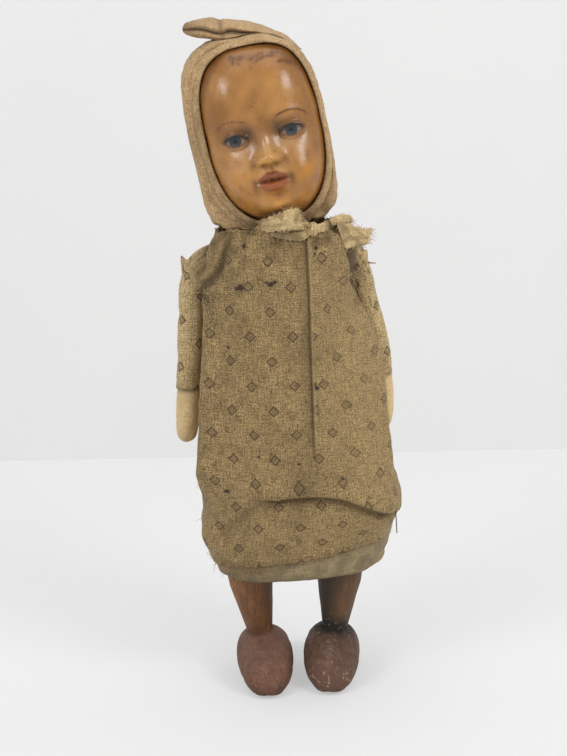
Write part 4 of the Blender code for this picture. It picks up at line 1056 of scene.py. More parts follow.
def oblong(angle, centre, reach, corners):
    """A rounded oblong, by its reaches to the right, left, top and bottom.

    Its corners' squareness: upper right, upper left, lower right, lower left.
    """
    across, up = np.sin(angle), np.cos(angle)
    to_left, above = across > 0, up > 0
    upper, lower = (np.where(to_left, left, right) for right, left in (corners[:2], corners[2:]))
    square = np.where(above, upper, lower)
    x = centre[0] + np.where(to_left, reach[1], reach[0]) * power(across, square)
    z = centre[1] + np.where(above, reach[2], reach[3]) * power(up, square)
    return x, z


def face_edge(angle, wider=0.0):
    return oblong(angle, FACE_CENTRE, [reach + wider for reach in FACE_REACH], FACE_CORNERS)


def lip_bow(side):
    """The two peaks of the upper lip, and the dip between them."""
    return 0.6 * bump(side - 2.3, 2.0) - 0.45 * bump(side, 1.0)


# The face's forms: how far out, middle's distance to each side, middle's height, half width, half height
FACE_FORMS = (
    (1.1, 13, 25, 13, 13),  # forehead
    (4.2, 16.5, -22.0, 11.025, 10.5),  # cheeks
    (-3.1, 12.0, 0.4, 8.4, 6.0),  # sockets of the eyes
    (0.9, 14, 8.4, 8.0, 3.2),  # brows
    (3.1, 5.3, -11.4, 2.5, 2.5 / 1.05),  # wings of the nose
    (-1.1, 2.7, -13.9, 1.25, 1.0),  # nostrils
    (-0.9, 8.0, -12.6, 1.5, 2.55),  # beside the nose
    (2.3, 0, -22, 9.5, 7.6),  # round the mouth
    (-0.9, 0, -16.6, 1.7 / 1.6, 2.21),  # groove above the lip
    (-0.8, 8.8, -21.8, 2.0, 2.0),  # corners of the mouth
    (-1.8, 0, -30.2, 4.4, 2.2),  # below the lip
    (4.2, 0, -35.4, 7.68, 4.8),  # chin
    (2.4, 0, -35, 20.9, 11),  # jaw
)


def face_relief(x, z):
    """How far the features stand out of the dome, in millimetres. x and z are from between the eyes."""
    side = np.abs(x)
    relief = np.zeros_like(x)
    for height, middle_x, middle_z, wide, tall in FACE_FORMS:
        relief += height * blob((side - middle_x) / wide, (z - middle_z) / tall, 1)
    from_eye = (side - EYE_X) ** 2
    lens = np.clip(1 - from_eye / 6.6 ** 2 - (z / 4.4) ** 2, 0, 1)
    relief += 2.0 * np.sqrt(lens)
    lid = np.clip(1 - from_eye / 6.4 ** 2, 0, 1)
    in_eye = step(6.8 - np.abs(side - EYE_X), 0, 1.6)
    relief += 1.0 * in_eye * bump(z - 2.5 * lid - 1.0, 1.0)
    relief += 0.3 * in_eye * bump(z + 2.4 * lid + 1.0, 1.1)
    nose_width = np.interp(z, [-13, -10, -6, 0, 8], [5.0, 5.2, 4.0, 3.4, 4.4])
    relief += eased(NOSE_RIDGE, z) * bump(side, nose_width)
    relief += 1.5 * bump(side, 6.2) * bump(z + 19.0 - lip_bow(side), 1.4)
    relief += 2.1 * bump(side, 5.6) * bump(z + 25.0, 2.1)
    relief -= 2.0 * bump(side, 6.8) * bump(z + 21.6, 0.75)
    return relief


def stroke(x, z, start, end, sag, width):
    """A brush stroke between two points that bends by its sag: how much of each point it covers."""
    way = np.array(end, float) - np.array(start, float)
    length = np.hypot(*way)
    along = ((x - start[0]) * way[0] + (z - start[1]) * way[1]) / length ** 2
    off = ((z - start[1]) * way[0] - (x - start[0]) * way[1]) / length - sag * 4 * along * (1 - along)
    taper = np.clip(along * 6, 0, 1) * np.clip((1 - along) * 3.5, 0, 1)
    return bump(off, width * (0.4 + 0.6 * taper)) * taper


# Patches of the face's colour, the same on both sides: middle, size, amount, tint. The last, above the lip,
# is a painted highlight.
FACE_PATCHES = (
    ((14, -9), 8, 0.4, (208, 170, 126)),
    ((17, -23), 7.5, 0.65, (188, 126, 42)),
    ((0, -3), 5, 0.45, (208, 168, 120)),
    ((0, 16), 10, 0.3, (136, 90, 46)),
    ((9, -36), 6, 0.4, (188, 126, 48)),
    ((16, 26), 10, 0.25, (150, 102, 58)),
    ((4, -16.5), 3.4, 0.45, (206, 166, 118)),
)
# Strokes of painted hair: start, end, sag, width
HAIR = (
    ((-7.8, 35.2), (-4.2, 39.4), 0.8, 1.0),
    ((-5.0, 34.6), (-1.3, 39.0), 0.8, 0.9),
    ((-8.8, 37.4), (-6.2, 40.3), 0.5, 0.8),
    ((-0.2, 35.7), (10.5, 37.6), 1.2, 0.8),
    ((1.8, 34.2), (15.2, 35.5), 1.5, 0.7),
    ((10.4, 37.0), (16.7, 36.3), 0.6, 0.8),
    ((13.3, 32.9), (20.3, 31.0), 0.8, 0.8),
    ((17.9, 31.2), (23.4, 28.4), 0.6, 0.7),
)
# Patches of fine dirt: middle, size, amount
GRIME = (
    ((-13.9, -24.7), 2.4, 0.55), ((-16.5, -22.0), 1.4, 0.5), ((-2.8, 15.5), 1.2, 0.5),
    ((-1.0, 17.5), 4.5, 0.25), ((17.5, -13.0), 1.5, 0.4), ((20.0, -16.0), 1.2, 0.4),
    ((-10.0, -33.0), 2.5, 0.35), ((9.5, -20.5), 1.8, 0.5), ((-9.0, -26.0), 2.2, 0.4),
    ((-19.5, 9.0), 2.2, 0.3), ((1.0, 33.0), 0.9, 0.5), ((16.0, 21.0), 4.0, 0.2),
)


def face_paint(x, z):
    """Eyes, brows, lips, hair and grime, with painted shade in the sockets, over the eyes, at the mouth,
    beside the nose, under the lip and round the rim, and painted light in the irises, above the lip and on
    the chin, as colour and amount for each point of the face. Millimetres.
    """
    paint = np.zeros(x.shape + (4,))

    def coat(amount, tint):
        layer(paint, amount, srgb(*tint))

    side = np.abs(x)
    flat = stacked(x, z, 0 * x)
    patch, fine, dots = waves(flat, 9.0, 51), waves(flat, 2.2, 52), waves(flat, 1.1, 53, 30)
    for place, size, amount, tint in FACE_PATCHES:
        coat(amount * blob(side - place[0], z - place[1], size) * (0.75 + 0.35 * patch), tint)
    # Painted shade in the eye sockets, darkest at the inner corners.
    coat(0.5 * blob((side - 12.5) / 1.6, z - 2.2, 5.0), (92, 56, 26))
    coat(0.8 * blob(side - 7.4, (z - 2.2) / 1.6, 3.2), (62, 36, 14))
    coat(0.3 * blob(x * 1.1, (z - 11) / 2.2, 6.5) * (0.85 + 0.2 * patch), (104, 66, 34))
    lid = np.clip(1 - ((side - EYE_X) / 5.9) ** 2, 0, 1)
    upper, lower = 2.7 * lid ** 0.75, -2.4 * lid ** 0.9
    inside = step(z - lower, -0.2, 0.25) * step(upper - z, -0.25, 0.25)
    inside = inside * step(5.9 - np.abs(side - EYE_X), 0, 0.6)
    coat(0.95 * inside, (134, 110, 82))
    look = np.where(x > 0, x - 13.7, x + 14.1)
    iris = np.hypot(look, z - 0.15)
    coat(inside * step(2.95 - iris, -0.15, 0.15), (16, 20, 26))
    coat(inside * step(2.45 - iris, -0.3, 0.3), (46, 56, 62))
    # A painted highlight low in each iris.
    coat(0.5 * inside * blob(look + 0.8, z + 1.3, 0.8), (74, 92, 104))
    coat(inside * step(1.25 - iris, -0.2, 0.2), (3, 4, 8))
    # Painted shadow of the upper lid over the eye.
    coat(0.8 * inside * step(z - upper + 2.1, 0, 1.9), (24, 18, 16))
    coat(0.6 * inside * bump(np.abs(side - EYE_X) - 5.4, 1.0), (84, 46, 32))
    in_width = step(7.0 - np.abs(side - 14.1), 0, 1.2)
    coat(0.98 * in_width * bump(z - upper - 0.35, 1.05), (16, 8, 4))
    coat(0.7 * in_width * bump(z - lower + 0.2, 0.7), (76, 44, 24))
    coat(0.4 * in_width * bump(z - upper - 2.0, 0.5), (96, 56, 28))
    brow_line = 10.1 - np.where(side < 15, 0.03, 0.07) * (side - 15) ** 2
    brow_span = between(side, 6.4, 8.6, 21.5, 24)
    worn = np.where(x > 0, 0.95, np.where(fine > -0.3, 0.7, 0.15))
    coat(worn * brow_span * bump(z - brow_line, 0.55), (84, 44, 16))
    mouth = step(8.3 - side, 0, 2.2)
    lip_top = -17.4 + lip_bow(side) - 0.04 * side ** 2
    lip_low = -27.0 + 0.062 * side ** 2
    lips = mouth * step(lip_top - z, -0.3, 0.5) * step(z - lip_low, -0.5, 0.5)
    coat(0.85 * lips, (122, 55, 28))
    coat(0.45 * lips * step(-z, 21.6, 22.6), (164, 88, 46))
    coat(0.75 * mouth * bump(z + 21.7, 0.5), (56, 26, 15))
    for tooth in (-2.2, 1.3):
        coat(0.7 * bump(x - tooth, 0.6) * bump(z + 21.1, 0.4), (206, 178, 138))
    # Dark at the mouth's corners: grime, and painted shade.
    coat(0.7 * blob(side - 9.0, (z + 22.6) / 1.9, 1.9), (76, 44, 18))
    coat(0.75 * blob((side - 3.2) / 1.3, z + 13.4, 1.0), (84, 50, 20))
    coat(0.6 * blob(x, z + 9.5, 4.2) * (0.75 + 0.4 * fine), (206, 154, 72))
    # Painted light on the chin.
    coat(0.6 * blob(x / 2.2, z + 36, 7.0) * (0.8 + 0.3 * patch), (220, 158, 86))
    # Painted shade beside the nose's wings, and under the lower lip.
    coat(0.45 * blob(side - 7.9, (z + 12.4) / 1.5, 1.2), (88, 50, 24))
    coat(0.35 * blob(x / 2.2, z + 30.0, 1.5), (110, 62, 28))
    hair_line = np.interp(x, [-9, -2, 8, 16, 24], [37.5, 36.5, 36, 33.5, 27])
    coat(0.35 * step(x, -10, -4) * step(z - hair_line, -1.5, 2.5) * (0.8 + 0.3 * fine), (122, 84, 46))
    for start, end, sag, width in HAIR:
        coat(0.95 * stroke(x, z, start, end, sag, 1.25 * width) * (0.85 + 0.2 * fine), (96, 54, 14))
    for place, size, amount in GRIME:
        spotted = blob(x - place[0], z - place[1], size)
        coat(1.1 * amount * spotted * np.clip(0.3 + 0.5 * dots, 0, 1), (84, 48, 22))
    # Painted shade round the face's rim, under the hood's band.
    edge = np.maximum(np.abs(x - 0.2) / 29.3, np.hypot((x - 0.2) / 30.0, (z + 1.0) / 45.2))
    coat(0.5 * step(edge, 0.93, 1.0), (88, 48, 22))
    return paint


def make_face():
    across, up = 210, 280
    u, v = np.meshgrid(np.linspace(-1, 1, across), np.linspace(-1, 1, up))
    p, q = u * np.sqrt(1 - v * v / 2), v * np.sqrt(1 - u * u / 2)
    radius = np.clip(np.hypot(p, q), 0, 1)
    under_band = 1.02
    edge_x, edge_z = face_edge(np.arctan2(p, q))
    x = FACE_CENTRE[0] + under_band * radius * (edge_x - FACE_CENTRE[0])
    z = FACE_CENTRE[1] + under_band * radius * (edge_z - FACE_CENTRE[1])
    dome = -9 * MM - 23 * MM * np.sqrt(np.clip(1 - radius ** 2.7, 0, 1))
    fade = 1 - radius ** 8
    x_mm, z_mm = (x - EYES[0]) / MM, (z - EYES[1]) / MM
    y = dome - fade * face_relief(x_mm, z_mm) * MM
    points = head_to_world(stacked(x, y, z))
    face = grid_object("face", points, colours={"paint": face_paint(x_mm, z_mm)})
    add_wall(face, 1.2 * MM)
    paint_with(face, FACE)
    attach(face, "head")
    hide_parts("face_mask")


# From the hood's front edge (0) to its back (1): how deep each ring lies, and its share of the full size
HOOD_SHARES = (0, 0.14, 0.3, 0.47, 0.64, 0.8, 0.92, 1.0)
HOOD_RINGS = {
    "depth": [HOOD_FRONT, 0.6 * HOOD_FRONT, 0.0] + [share * HOOD_BACK for share in (0.3, 0.58, 0.8, 0.94, 1)],
    "width": (0.95, 0.985, 1.0, 0.99, 0.91, 0.74, 0.44, 0.02),
    "rise": (0.985, 1.0, 1.0, 0.98, 0.9, 0.75, 0.47, 0.02),
    "drop": (0.97, 0.985, 1.0, 1.0, 0.93, 0.76, 0.48, 0.02),
}


def hood_shape(angle, share):
    """A point of the hood: round the face by angle, and from the front edge (0) to the back (1)."""
    depth, width, rise, drop = (eased(list(zip(HOOD_SHARES, ring)), share) for ring in HOOD_RINGS.values())
    x, z = oblong(angle, (0.0, 0.0), HOOD_REACH, HOOD_CORNERS)
    x = HOOD_CENTRE[0] + x * width
    longer = 1 + 0.11 * step(x, 4 * MM, 24 * MM) * (1 - 0.6 * step(share, 0.2, 0.6))
    z = HOOD_CENTRE[1] + z * np.where(z > 0, rise, drop * longer)
    return stacked(x, depth, z)


def make_hood():
    angles = full_turn(200)
    lip_rows = 10
    shares = np.concatenate([np.zeros(lip_rows), np.linspace(0, 1, 80)])
    angle, share = np.meshgrid(angles, shares)
    points = hood_shape(angle, share)
    inner_x, inner_z = face_edge(angles, 1.6 * MM)
    inner = stacked(inner_x, np.full_like(inner_x, -14.6 * MM), inner_z)
    for i in range(lip_rows):
        reach = math.sin(math.pi / 2 * i / lip_rows)
        points[i] = inner * (1 - reach) + points[lip_rows] * reach
        points[i, :, 1] -= 1.2 * MM * math.sin(math.pi * i / lip_rows)
    from_middle = points - HEAD_MIDDLE
    way = from_middle / np.linalg.norm(from_middle, axis=-1)[..., None]
    low = bump(angle_from(angle, math.pi), 1.15)
    folds = -1.0 * MM * low * (0.5 + 0.5 * np.sin(15 * angle + 3 * share)) * (1 - step(share, 0.75, 0.95))
    right_low = bump(angle_from(angle, math.radians(-118)), 0.5)
    drag = 0.7 * MM * right_low * np.sin(24 * share + 4 * angle) * (1 - step(share, 0.5, 0.7))
    wrinkle = 0.45 * MM * np.minimum(0.3, waves(points, 24 * MM, 61)) + 0.18 * MM * waves(points, 8 * MM, 62)
    seam = -0.6 * MM * bump(points[..., 0], 1.2 * MM) * (np.cos(angle) > -0.2) * step(share, 0.1, 0.2)
    points = points + way * (folds + drag + wrinkle + seam)[..., None]
    keep = (np.hypot(points[..., 0], points[..., 1]) > 17 * MM) | (points[..., 2] > FACE_MIDDLE - 20 * MM)
    grime = 0.35 * low * (0.5 + 0.5 * waves(points, 10 * MM, 63))
    shade = 0.35 * bump(angle_from(angle, math.radians(-100)), 0.5) * step(share, 0.08, 0.3)
    spots = [(grime, (96, 76, 52)), (shade, (92, 70, 46))]
    colours = marks_and_shading_of(share.shape, spots)
    hood = grid_object("hood_cloth", head_to_world(points), wrap=True, caps="last", colours=colours)
    drop_points(hood, ~keep.reshape(-1))
    add_wall(hood, 0.9 * MM)
    paint_with(hood, HOOD)
    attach(hood, "head")
    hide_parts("hood")


# Round the face by degrees
BAND_WIDTHS = (
    (-180, 5.6), (-160, 6.6), (-130, 7.4), (-90, 7.4), (-50, 5.4), (-15, 3.6),
    (15, 3.2), (60, 2.9), (100, 3.0), (140, 4.2), (165, 5.4), (180, 5.6),
)


def make_hood_band():
    """The hood's front edge, folded over twice: broad at the doll's right, a narrow roll at its left."""
    angles = full_turn(260, -math.pi)
    turns = full_turn(30)
    turn, angle = np.meshgrid(turns, angles)
    width = by_degrees(BAND_WIDTHS, angle) * (1 + 0.05 * np.sin(9 * angle + 1) + 0.04 * np.sin(23 * angle))
    tiny = 1e-4
    x, z = face_edge(angle)
    along_x, along_z = np.subtract(face_edge(angle + tiny), face_edge(angle - tiny))
    length = np.maximum(np.hypot(along_x, along_z), 1e-12)
    normal_x, normal_z = -along_z / length, along_x / length
    flip = np.sign(normal_x * (x - FACE_CENTRE[0]) + normal_z * (z - FACE_CENTRE[1]))
    normal_x, normal_z = normal_x * flip, normal_z * flip
    across = 0.5 - 0.5 * np.cos(turn)
    broad = step(width, 4 * MM, 6.5 * MM)
    out = -0.4 * MM + across * width
    thick = 1.7 * MM * (1 - 0.25 * broad)
    front = np.sin(turn) > 0
    crease = broad * 0.75 * MM * bump(across - 0.52, 0.07) * front
    y = -17.6 * MM + 0.42 * across * width - thick * np.sin(turn) * (1 - 0.25 * across * broad) + crease
    points = stacked(x + normal_x * out, y, z + normal_z * out)
    points[..., 1] += 0.22 * MM * waves(points, 7 * MM, 71) + 0.35 * MM * waves(points, 18 * MM, 72)
    patchy = 0.5 + 0.5 * waves(points, 6 * MM, 73)
    spots = [
        # Painted shade where the band meets the face, and in the band's crease.
        (0.75 * bump(across, 0.07), (70, 42, 22)),
        (0.6 * broad * front * bump(across - 0.52, 0.05), (84, 62, 40)),
        (0.3 * broad * front * bump(across - 0.3, 0.12) * patchy, (110, 84, 58)),
    ]
    closed = np.concatenate([points, points[:1]])
    paint = marks_and_shading_of(turn.shape, spots)["soil_and_shading"]
    paint = np.concatenate([paint, paint[:1]])
    band = grid_object("hood_band_cloth", head_to_world(closed), wrap=True, colours={"soil_and_shading": paint})
    weld(band)
    paint_with(band, HOOD)
    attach(band, "head")
    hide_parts("hood_front_band")


# Along the peak: its share of the full depth and thickness, and its middle's rise in millimetres
PEAK_DEPTHS = ((0.0, 0.1), (0.06, 0.55), (0.25, 0.95), (0.5, 1.0), (0.75, 0.85), (0.92, 0.6), (1.0, 0.2))
PEAK_THICKNESS = (
    (0.0, 0.1), (0.1, 0.5), (0.3, 0.75), (0.5, 1.0), (0.66, 1.1),
    (0.8, 0.95), (0.92, 0.75), (0.98, 0.5), (1.0, 0.2),
)
PEAK_RISE = ((0.0, -9.0), (0.12, -3.0), (0.25, 1.8), (0.5, 6.4), (0.7, 9.8), (0.86, 11.8), (1.0, 13.0))


def make_hood_peak():
    """The hood's tip: two layers of cloth folded flat, which flop to the doll's right."""
    along = np.linspace(0, 1, 80)
    turns = full_turn(72)
    turn, share = np.meshgrid(turns, along)
    depth, thick, rise = (eased(stations, share) for stations in (PEAK_DEPTHS, PEAK_THICKNESS, PEAK_RISE))
    rise = rise * MM
    x = 27.8 * MM - share * 55 * MM
    front = bump(angle_from(turn, math.radians(-90)), 0.26)
    slot = step(share, 0.16, 0.4)
    out = depth * 13 * MM * np.sin(turn) * (1 - 0.3 * front * slot)
    up = thick * 4.4 * MM * np.cos(turn) * (1 + 0.25 * slot * (np.abs(np.sin(turn)) > 0.5))
    kink = 1.2 * MM * bump(share - 0.66, 0.035) * (np.cos(turn) > 0)
    y = -2 * MM * share + out
    z = HOOD_CENTRE[1] + 46.5 * MM - 5 * MM + rise + up - kink
    points = stacked(x, y, z)
    points[..., 2] += 0.4 * MM * waves(points, 12 * MM, 81) * thick
    crown = hood_floor(points[..., 0], points[..., 1]) + 0.2 * MM
    points[..., 2] = np.maximum(points[..., 2], crown)
    spots = [
        # Painted shade in the slot between the folded layers, and in the kink.
        (0.9 * bump(angle_from(turn, math.radians(-90)), 0.13) * slot, (36, 24, 15)),
        (0.45 * bump(share - 1, 0.12), (80, 62, 40)),
        (0.5 * bump(share - 0.66, 0.02), (84, 64, 42)),
    ]
    colours = marks_and_shading_of(share.shape, spots)
    peak = grid_object("hood_peak_cloth", head_to_world(points), wrap=True, caps="both", colours=colours)
    weld(peak)
    paint_with(peak, HOOD)
    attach(peak, "head")
    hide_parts("hood_peak")


def make_head_stuffing():
    """The fibre that fills the hood, just inside its cloth, with a hollow for the ball of the neck."""
    angles = full_turn(120)
    angle, share = np.meshgrid(angles, np.linspace(0.06, 1, 50))
    points = hood_shape(angle, share)
    from_middle = points - HEAD_MIDDLE
    distance = np.linalg.norm(from_middle, axis=-1)[..., None]
    points = points - from_middle / distance * (3.6 * MM + 0.5 * MM * waves(points, 15 * MM, 65)[..., None])
    from_neck = np.hypot(points[..., 0], points[..., 1])
    hollow = 11 * MM * bump(from_neck, 11 * MM) - 3 * MM
    points[..., 2] = np.maximum(points[..., 2], hollow)
    stuffing = grid_object("head_stuffing_fibre", head_to_world(points), wrap=True, caps="both")
    weld(stuffing)
    paint_with(stuffing, PINK)
    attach(stuffing, "head")
    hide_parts("head_stuffing")


def hood_floor(x, y):
    """The height of the hood's crown below a point, in the head's own frame."""
    depths = [HOOD_FRONT, 0, 10.6 * MM, 20.6 * MM, 28.4 * MM]
    rise = np.interp(y, depths, [0.985, 1.0, 0.98, 0.9, 0.75])
    width = np.interp(y, depths, [0.95, 1.0, 0.99, 0.91, 0.74])
    from_middle = x - HOOD_CENTRE[0]
    square = np.where(from_middle > 0, HOOD_CORNERS[1], HOOD_CORNERS[0])
    half = np.where(from_middle > 0, HOOD_REACH[1], HOOD_REACH[0])
    inside = np.clip(1 - (np.abs(from_middle) / (half * width)) ** square, 0, 1) ** (1 / square)
    return np.where(y < HOOD_FRONT, -1.0, HOOD_CENTRE[1] + HOOD_REACH[2] * rise * inside)


def make_neck():
    angles = around(64)
    top, bottom, hole = -6.1 * MM, -14.5 * MM, 8.2 * MM
    profile = [
        (hole, bottom),
        (12.6 * MM, bottom + 0.3 * MM),
        (13.7 * MM, -12.5 * MM),
        (14 * MM, -9.5 * MM),
        (13.4 * MM, top - 0.8 * MM),
        (11.5 * MM, top),
        (hole, top),
    ]
    rings = []
    for radius, level in profile:
        ripple = 0.02 * np.abs(np.sin(9 * angles + level * 900)) if radius > hole else 0 * angles
        ring = radius * (1 - ripple)
        rings.append(stacked(ring * np.sin(angles), -ring * np.cos(angles), level))
    rings.append(rings[0])
    neck = grid_object("neck_padding_cloth", head_to_world(np.stack(rings)), wrap=True)
    weld(neck)
    smooth = neck.modifiers.new("rounded", "SUBSURF")
    smooth.levels = 2
    smooth.render_levels = 2
    paint_with(neck, PINK)
    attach(neck, "neck")
    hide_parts("neck_padding")


# Legs and shoes


def leg_matrix(sign):
    place = Vector((sign * HIP.x, 0, HIP.z))
    return Matrix.Translation(place) @ Matrix.Rotation(sign * LEG_SPLAY, 4, "Y")


# How much longer than the plain shoe each one is
TOE_EXTRA = {"left": 1.2 * MM, "right": 2.6 * MM}


def shoe_ring(along, angles, extra):
    from_middle = 2 * along - 1
    bulge = max(0.0, 1 - abs(from_middle) ** 2.3) ** (1 / 2.3)
    half_width = 15 * MM * bulge
    instep = SHOE_HEIGHT * bulge ** 0.8 * (1.0 - 0.42 * max(0.0, along - 0.42))
    toe_lift = 2.6 * MM * max(0.0, (along - 0.8) / 0.2) ** 2
    x = half_width * power(np.sin(angles), 2.3)
    rise = 0.5 - 0.5 * power(np.cos(angles), 2.3)
    side_lift = 3.0 * MM * float(step(along, 0.3, 0.8)) * (np.abs(x) / (15 * MM)) ** 3
    low = toe_lift + side_lift
    height = low + (instep - low) * np.maximum(0, (rise - 0.1) / 0.9)
    return stacked(-x, np.full_like(x, 23 * MM - along * (58 * MM + extra)), height)


def make_shoe(side, sign):
    angles = full_turn(96)
    shares = 0.5 - 0.5 * np.cos(np.linspace(0.02, math.pi - 0.05, 84))
    points = np.stack([shoe_ring(s, angles, TOE_EXTRA[side]) for s in shares])
    centre = np.array([0, -6 * MM, 10 * MM])
    facets = 0.28 * MM * waves(points, 13 * MM, 91 + sign) + 0.1 * MM * waves(points, 4 * MM, 95 + sign)
    facets = np.where(points[..., 2] < 0.6 * MM, 0, np.minimum(facets, 0.1 * MM))
    way = points - centre
    points = points + way / np.linalg.norm(way, axis=-1)[..., None] * facets[..., None]
    matrix = Matrix.Translation((sign * 18.5 * MM, 0, 0)) @ Matrix.Rotation(-sign * math.radians(4), 4, "Z")
    world = to_world(points, matrix)
    x, y, z = (points[..., i] for i in range(3))
    chance = np.random.default_rng(120 + sign).random(x.shape)
    grain = waves(points, 6 * MM, 97)
    toe = bump(y + 33 * MM, 10 * MM)
    flecks = waves(points, 2.0 * MM, 98, 40)
    crumbs = step(flecks, 0.85, 1.15) * step(waves(points, 7 * MM, 99), -0.1, 0.8)
    pale = bump(y + 22 * MM, 9 * MM) * (0.6 + 0.4 * flecks)
    low = bump(z, 3.5 * MM)
    top = step(z, 10 * MM, 20 * MM)
    ankle = np.linalg.norm(world[..., :2] - np.array([sign * 20.2 * MM, 0]), axis=-1)
    ring = bump(ankle - 8.6 * MM, 3.4 * MM) * step(z, 14 * MM, 18 * MM)
    if sign > 0:
        world[..., 2] += 0.7 * MM * ring * chance
        spots = [
            (0.6 + 0.25 * np.clip(grain, -1, 1), (72, 55, 42)),
            (0.45 * (chance > 0.72), (54, 40, 32)),
            (0.97 * ring * (chance > 0.12), (22, 27, 21)),
            (0.5 * pale * bump(x + 1 * MM, 4 * MM), (136, 116, 98)),
            (0.75 * toe * crumbs * bump(z - 6 * MM, 6 * MM), (192, 180, 156)),
            (0.4 * top * step(flecks, 1.9, 2.2), (170, 156, 138)),
            (0.35 * toe * np.clip(grain, 0, 1), (116, 66, 46)),
            # Painted shade towards the sole.
            (0.45 * low, (52, 38, 30)),
        ]
    else:
        spots = [
            # Painted light on the top; painted shade at the toe's underside, along the sides and towards the
            # sole; a painted shadow round the leg's socket.
            (0.35 * top, (124, 94, 84)),
            (0.65 * toe * bump(z - 3 * MM, 5 * MM), (62, 38, 26)),
            (0.5 * toe * step(flecks, 0.9, 1.2), (44, 30, 22)),
            (0.5 * bump(np.abs(x) - 15 * MM, 2.6 * MM), (58, 36, 25)),
            (0.45 * (chance > 0.93), (58, 40, 30)),
            (0.3 * np.clip(grain, 0, 1), (96, 58, 42)),
            (0.45 * low, (56, 36, 28)),
            (0.5 * ring * bump(ankle - 7.2 * MM, 1.0 * MM), (50, 34, 26)),
        ]
    colours = marks_and_shading_of(low.shape, spots)
    shoe = grid_object(f"{side}_shoe_wood", world, wrap=True, caps="both", colours=colours)
    weld(shoe)
    paint_with(shoe, SHOE_WOOD)
    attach(shoe, f"{side}_leg")
    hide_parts(f"{side}_shoe")


# How far the worn skin of a leg lies outside its solid
LEG_SKIN = 0.35 * MM


def make_leg(side, sign):
    """The shaft of a leg from the hip down: turned, then worn."""
    angles = full_turn(64)
    ankle = -(HIP.z - SHOE_HEIGHT) / math.cos(LEG_SPLAY)
    calf = ankle + 26 * MM / math.cos(LEG_SPLAY)
    stations = [
        (ankle - 7 * MM, 6.6 * MM),
        (ankle, 6.7 * MM),
        ((calf + ankle) / 2, 9.0 * MM),
        (calf, 11.3 * MM),
        (calf * 0.5, 12.4 * MM),
        (calf * 0.42, 12.45 * MM),
    ]
    level = np.linspace(ankle - 7 * MM, calf * 0.42, 70)
    angle, level2 = np.meshgrid(angles, level)
    radius = np.broadcast_to(np.interp(level, *zip(*stations))[:, None] + LEG_SKIN, angle.shape)
    points = stacked(radius * np.sin(angle), -radius * np.cos(angle), level2)
    wear = 0.16 * MM * np.minimum(0.6, waves(points * np.array([1, 1, 0.4]), 9 * MM, 101 + sign))
    points[..., :2] *= (1 + wear / radius)[..., None]
    foot = level2 - ankle
    spots = [
        # Painted shade where the leg goes into its shoe, and up under the skirt.
        (0.4 * bump(foot, 4 * MM), (50, 34, 24)),
        (0.35 * step(level2, calf, calf + 20 * MM), (70, 48, 32)),
    ]
    if sign > 0:
        chance = np.random.default_rng(131).random(foot.shape)
        spots += [
            (0.5, (56, 46, 33)),
            (0.8 * step(-np.sin(angle), -0.3, 0.6), (52, 43, 32)),
            (0.97 * bump(foot - 1 * MM, 4.5 * MM) * (chance > 0.1), (18, 22, 16)),
            (0.5 * bump(foot, 10 * MM) * (chance < 0.03), (150, 138, 118)),
        ]
    else:
        spots.append((0.35 * step(np.sin(angle), 0.3, 1.0), (66, 42, 26)))
    points = to_world(points, leg_matrix(sign))
    leg = grid_object(f"{side}_leg_wood", points, wrap=True, caps="both", colours=marks_and_shading_of(foot.shape, spots))
    paint_with(leg, LEG_WOOD)
    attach(leg, f"{side}_leg")


# Bow


def strip_grid(path, arch, shade, middle, seed, torn, dress, rows=64, across=21):
    """A run of torn cloth on the dress. Points of its path: x, z, lift from the dress, width and lean."""
    rng = np.random.default_rng(seed)
    stations = np.linspace(0, 1, len(path))
    share = np.linspace(0, 1, rows)
    x, z, lift, width, lean = (eased(list(zip(stations, column)), share)[:, None] for column in zip(*path))
    place = np.linspace(-0.5, 0.5, across)[None, :]
    lean = np.radians(lean)
    ragged = rng.normal(size=(rows, 2)) * 0.3 + 0.3 * np.sin(np.arange(rows) * 0.9)[:, None]
    reach = width * place
    reach[:, 0] -= ragged[:, 0]
    reach[:, -1] += ragged[:, 1]
    x = x + np.sin(lean) * reach
    z = z + np.cos(lean) * reach
    for end, row in (("first", 0), ("last", -1)):
        if end in torn:
            x[row] += rng.normal(size=across) * 0.5
    flat = stacked(x, np.zeros_like(x), z) * MM + middle
    pinch = np.minimum(1, np.hypot(x, z) / 9)
    pleats = np.sin(place * 15 + 2.4 * np.sin(3 * share[:, None]) + seed) * (1.1 - 0.75 * pinch)
    broad, fine = waves(flat, 11 * MM, seed), waves(flat, 5 * MM, seed + 7)
    relief = 0.75 * broad * pinch + 0.55 * pleats + 0.3 * fine * pinch
    height = np.maximum(lift + arch * (1 - (2 * place) ** 2) + 0.75 * relief, 0.8)
    points = laid(flat, height * MM, dress)
    uv = stacked(place * 10 * MM, run_along(points[:, across // 2])[:, None])
    edge = np.broadcast_to(bump(np.abs(place) - 0.5, 0.04), relief.shape)
    hollow = shade * step(np.hypot(x, z), 4.5, 9.0)
    spots = [
        # Painted shade in the pleats' hollows.
        (0.5 * np.clip(-relief, 0, 1), (88, 66, 40)),
        (0.35 * edge, (212, 188, 144)),
        (hollow, (66, 47, 28)),
    ]
    return points, uv, marks_and_shading_of(relief.shape, spots)


def joined(name, grids, wall, material):
    """Several strips as one piece."""
    whole = bmesh.new()
    for i, (points, uv, soil_and_shading) in enumerate(grids):
        part = grid_object(f"{name}_{i}", points, uv, colours=soil_and_shading)
        whole.from_mesh(part.data)
        mesh = part.data
        bpy.data.objects.remove(part)
        bpy.data.meshes.remove(mesh)
    mesh = bpy.data.meshes.new(name)
    whole.to_mesh(mesh)
    whole.free()
    mesh.shade_smooth()
    obj = new_object(name, mesh)
    add_wall(obj, wall, offset=0.0)
    return paint_with(obj, material)


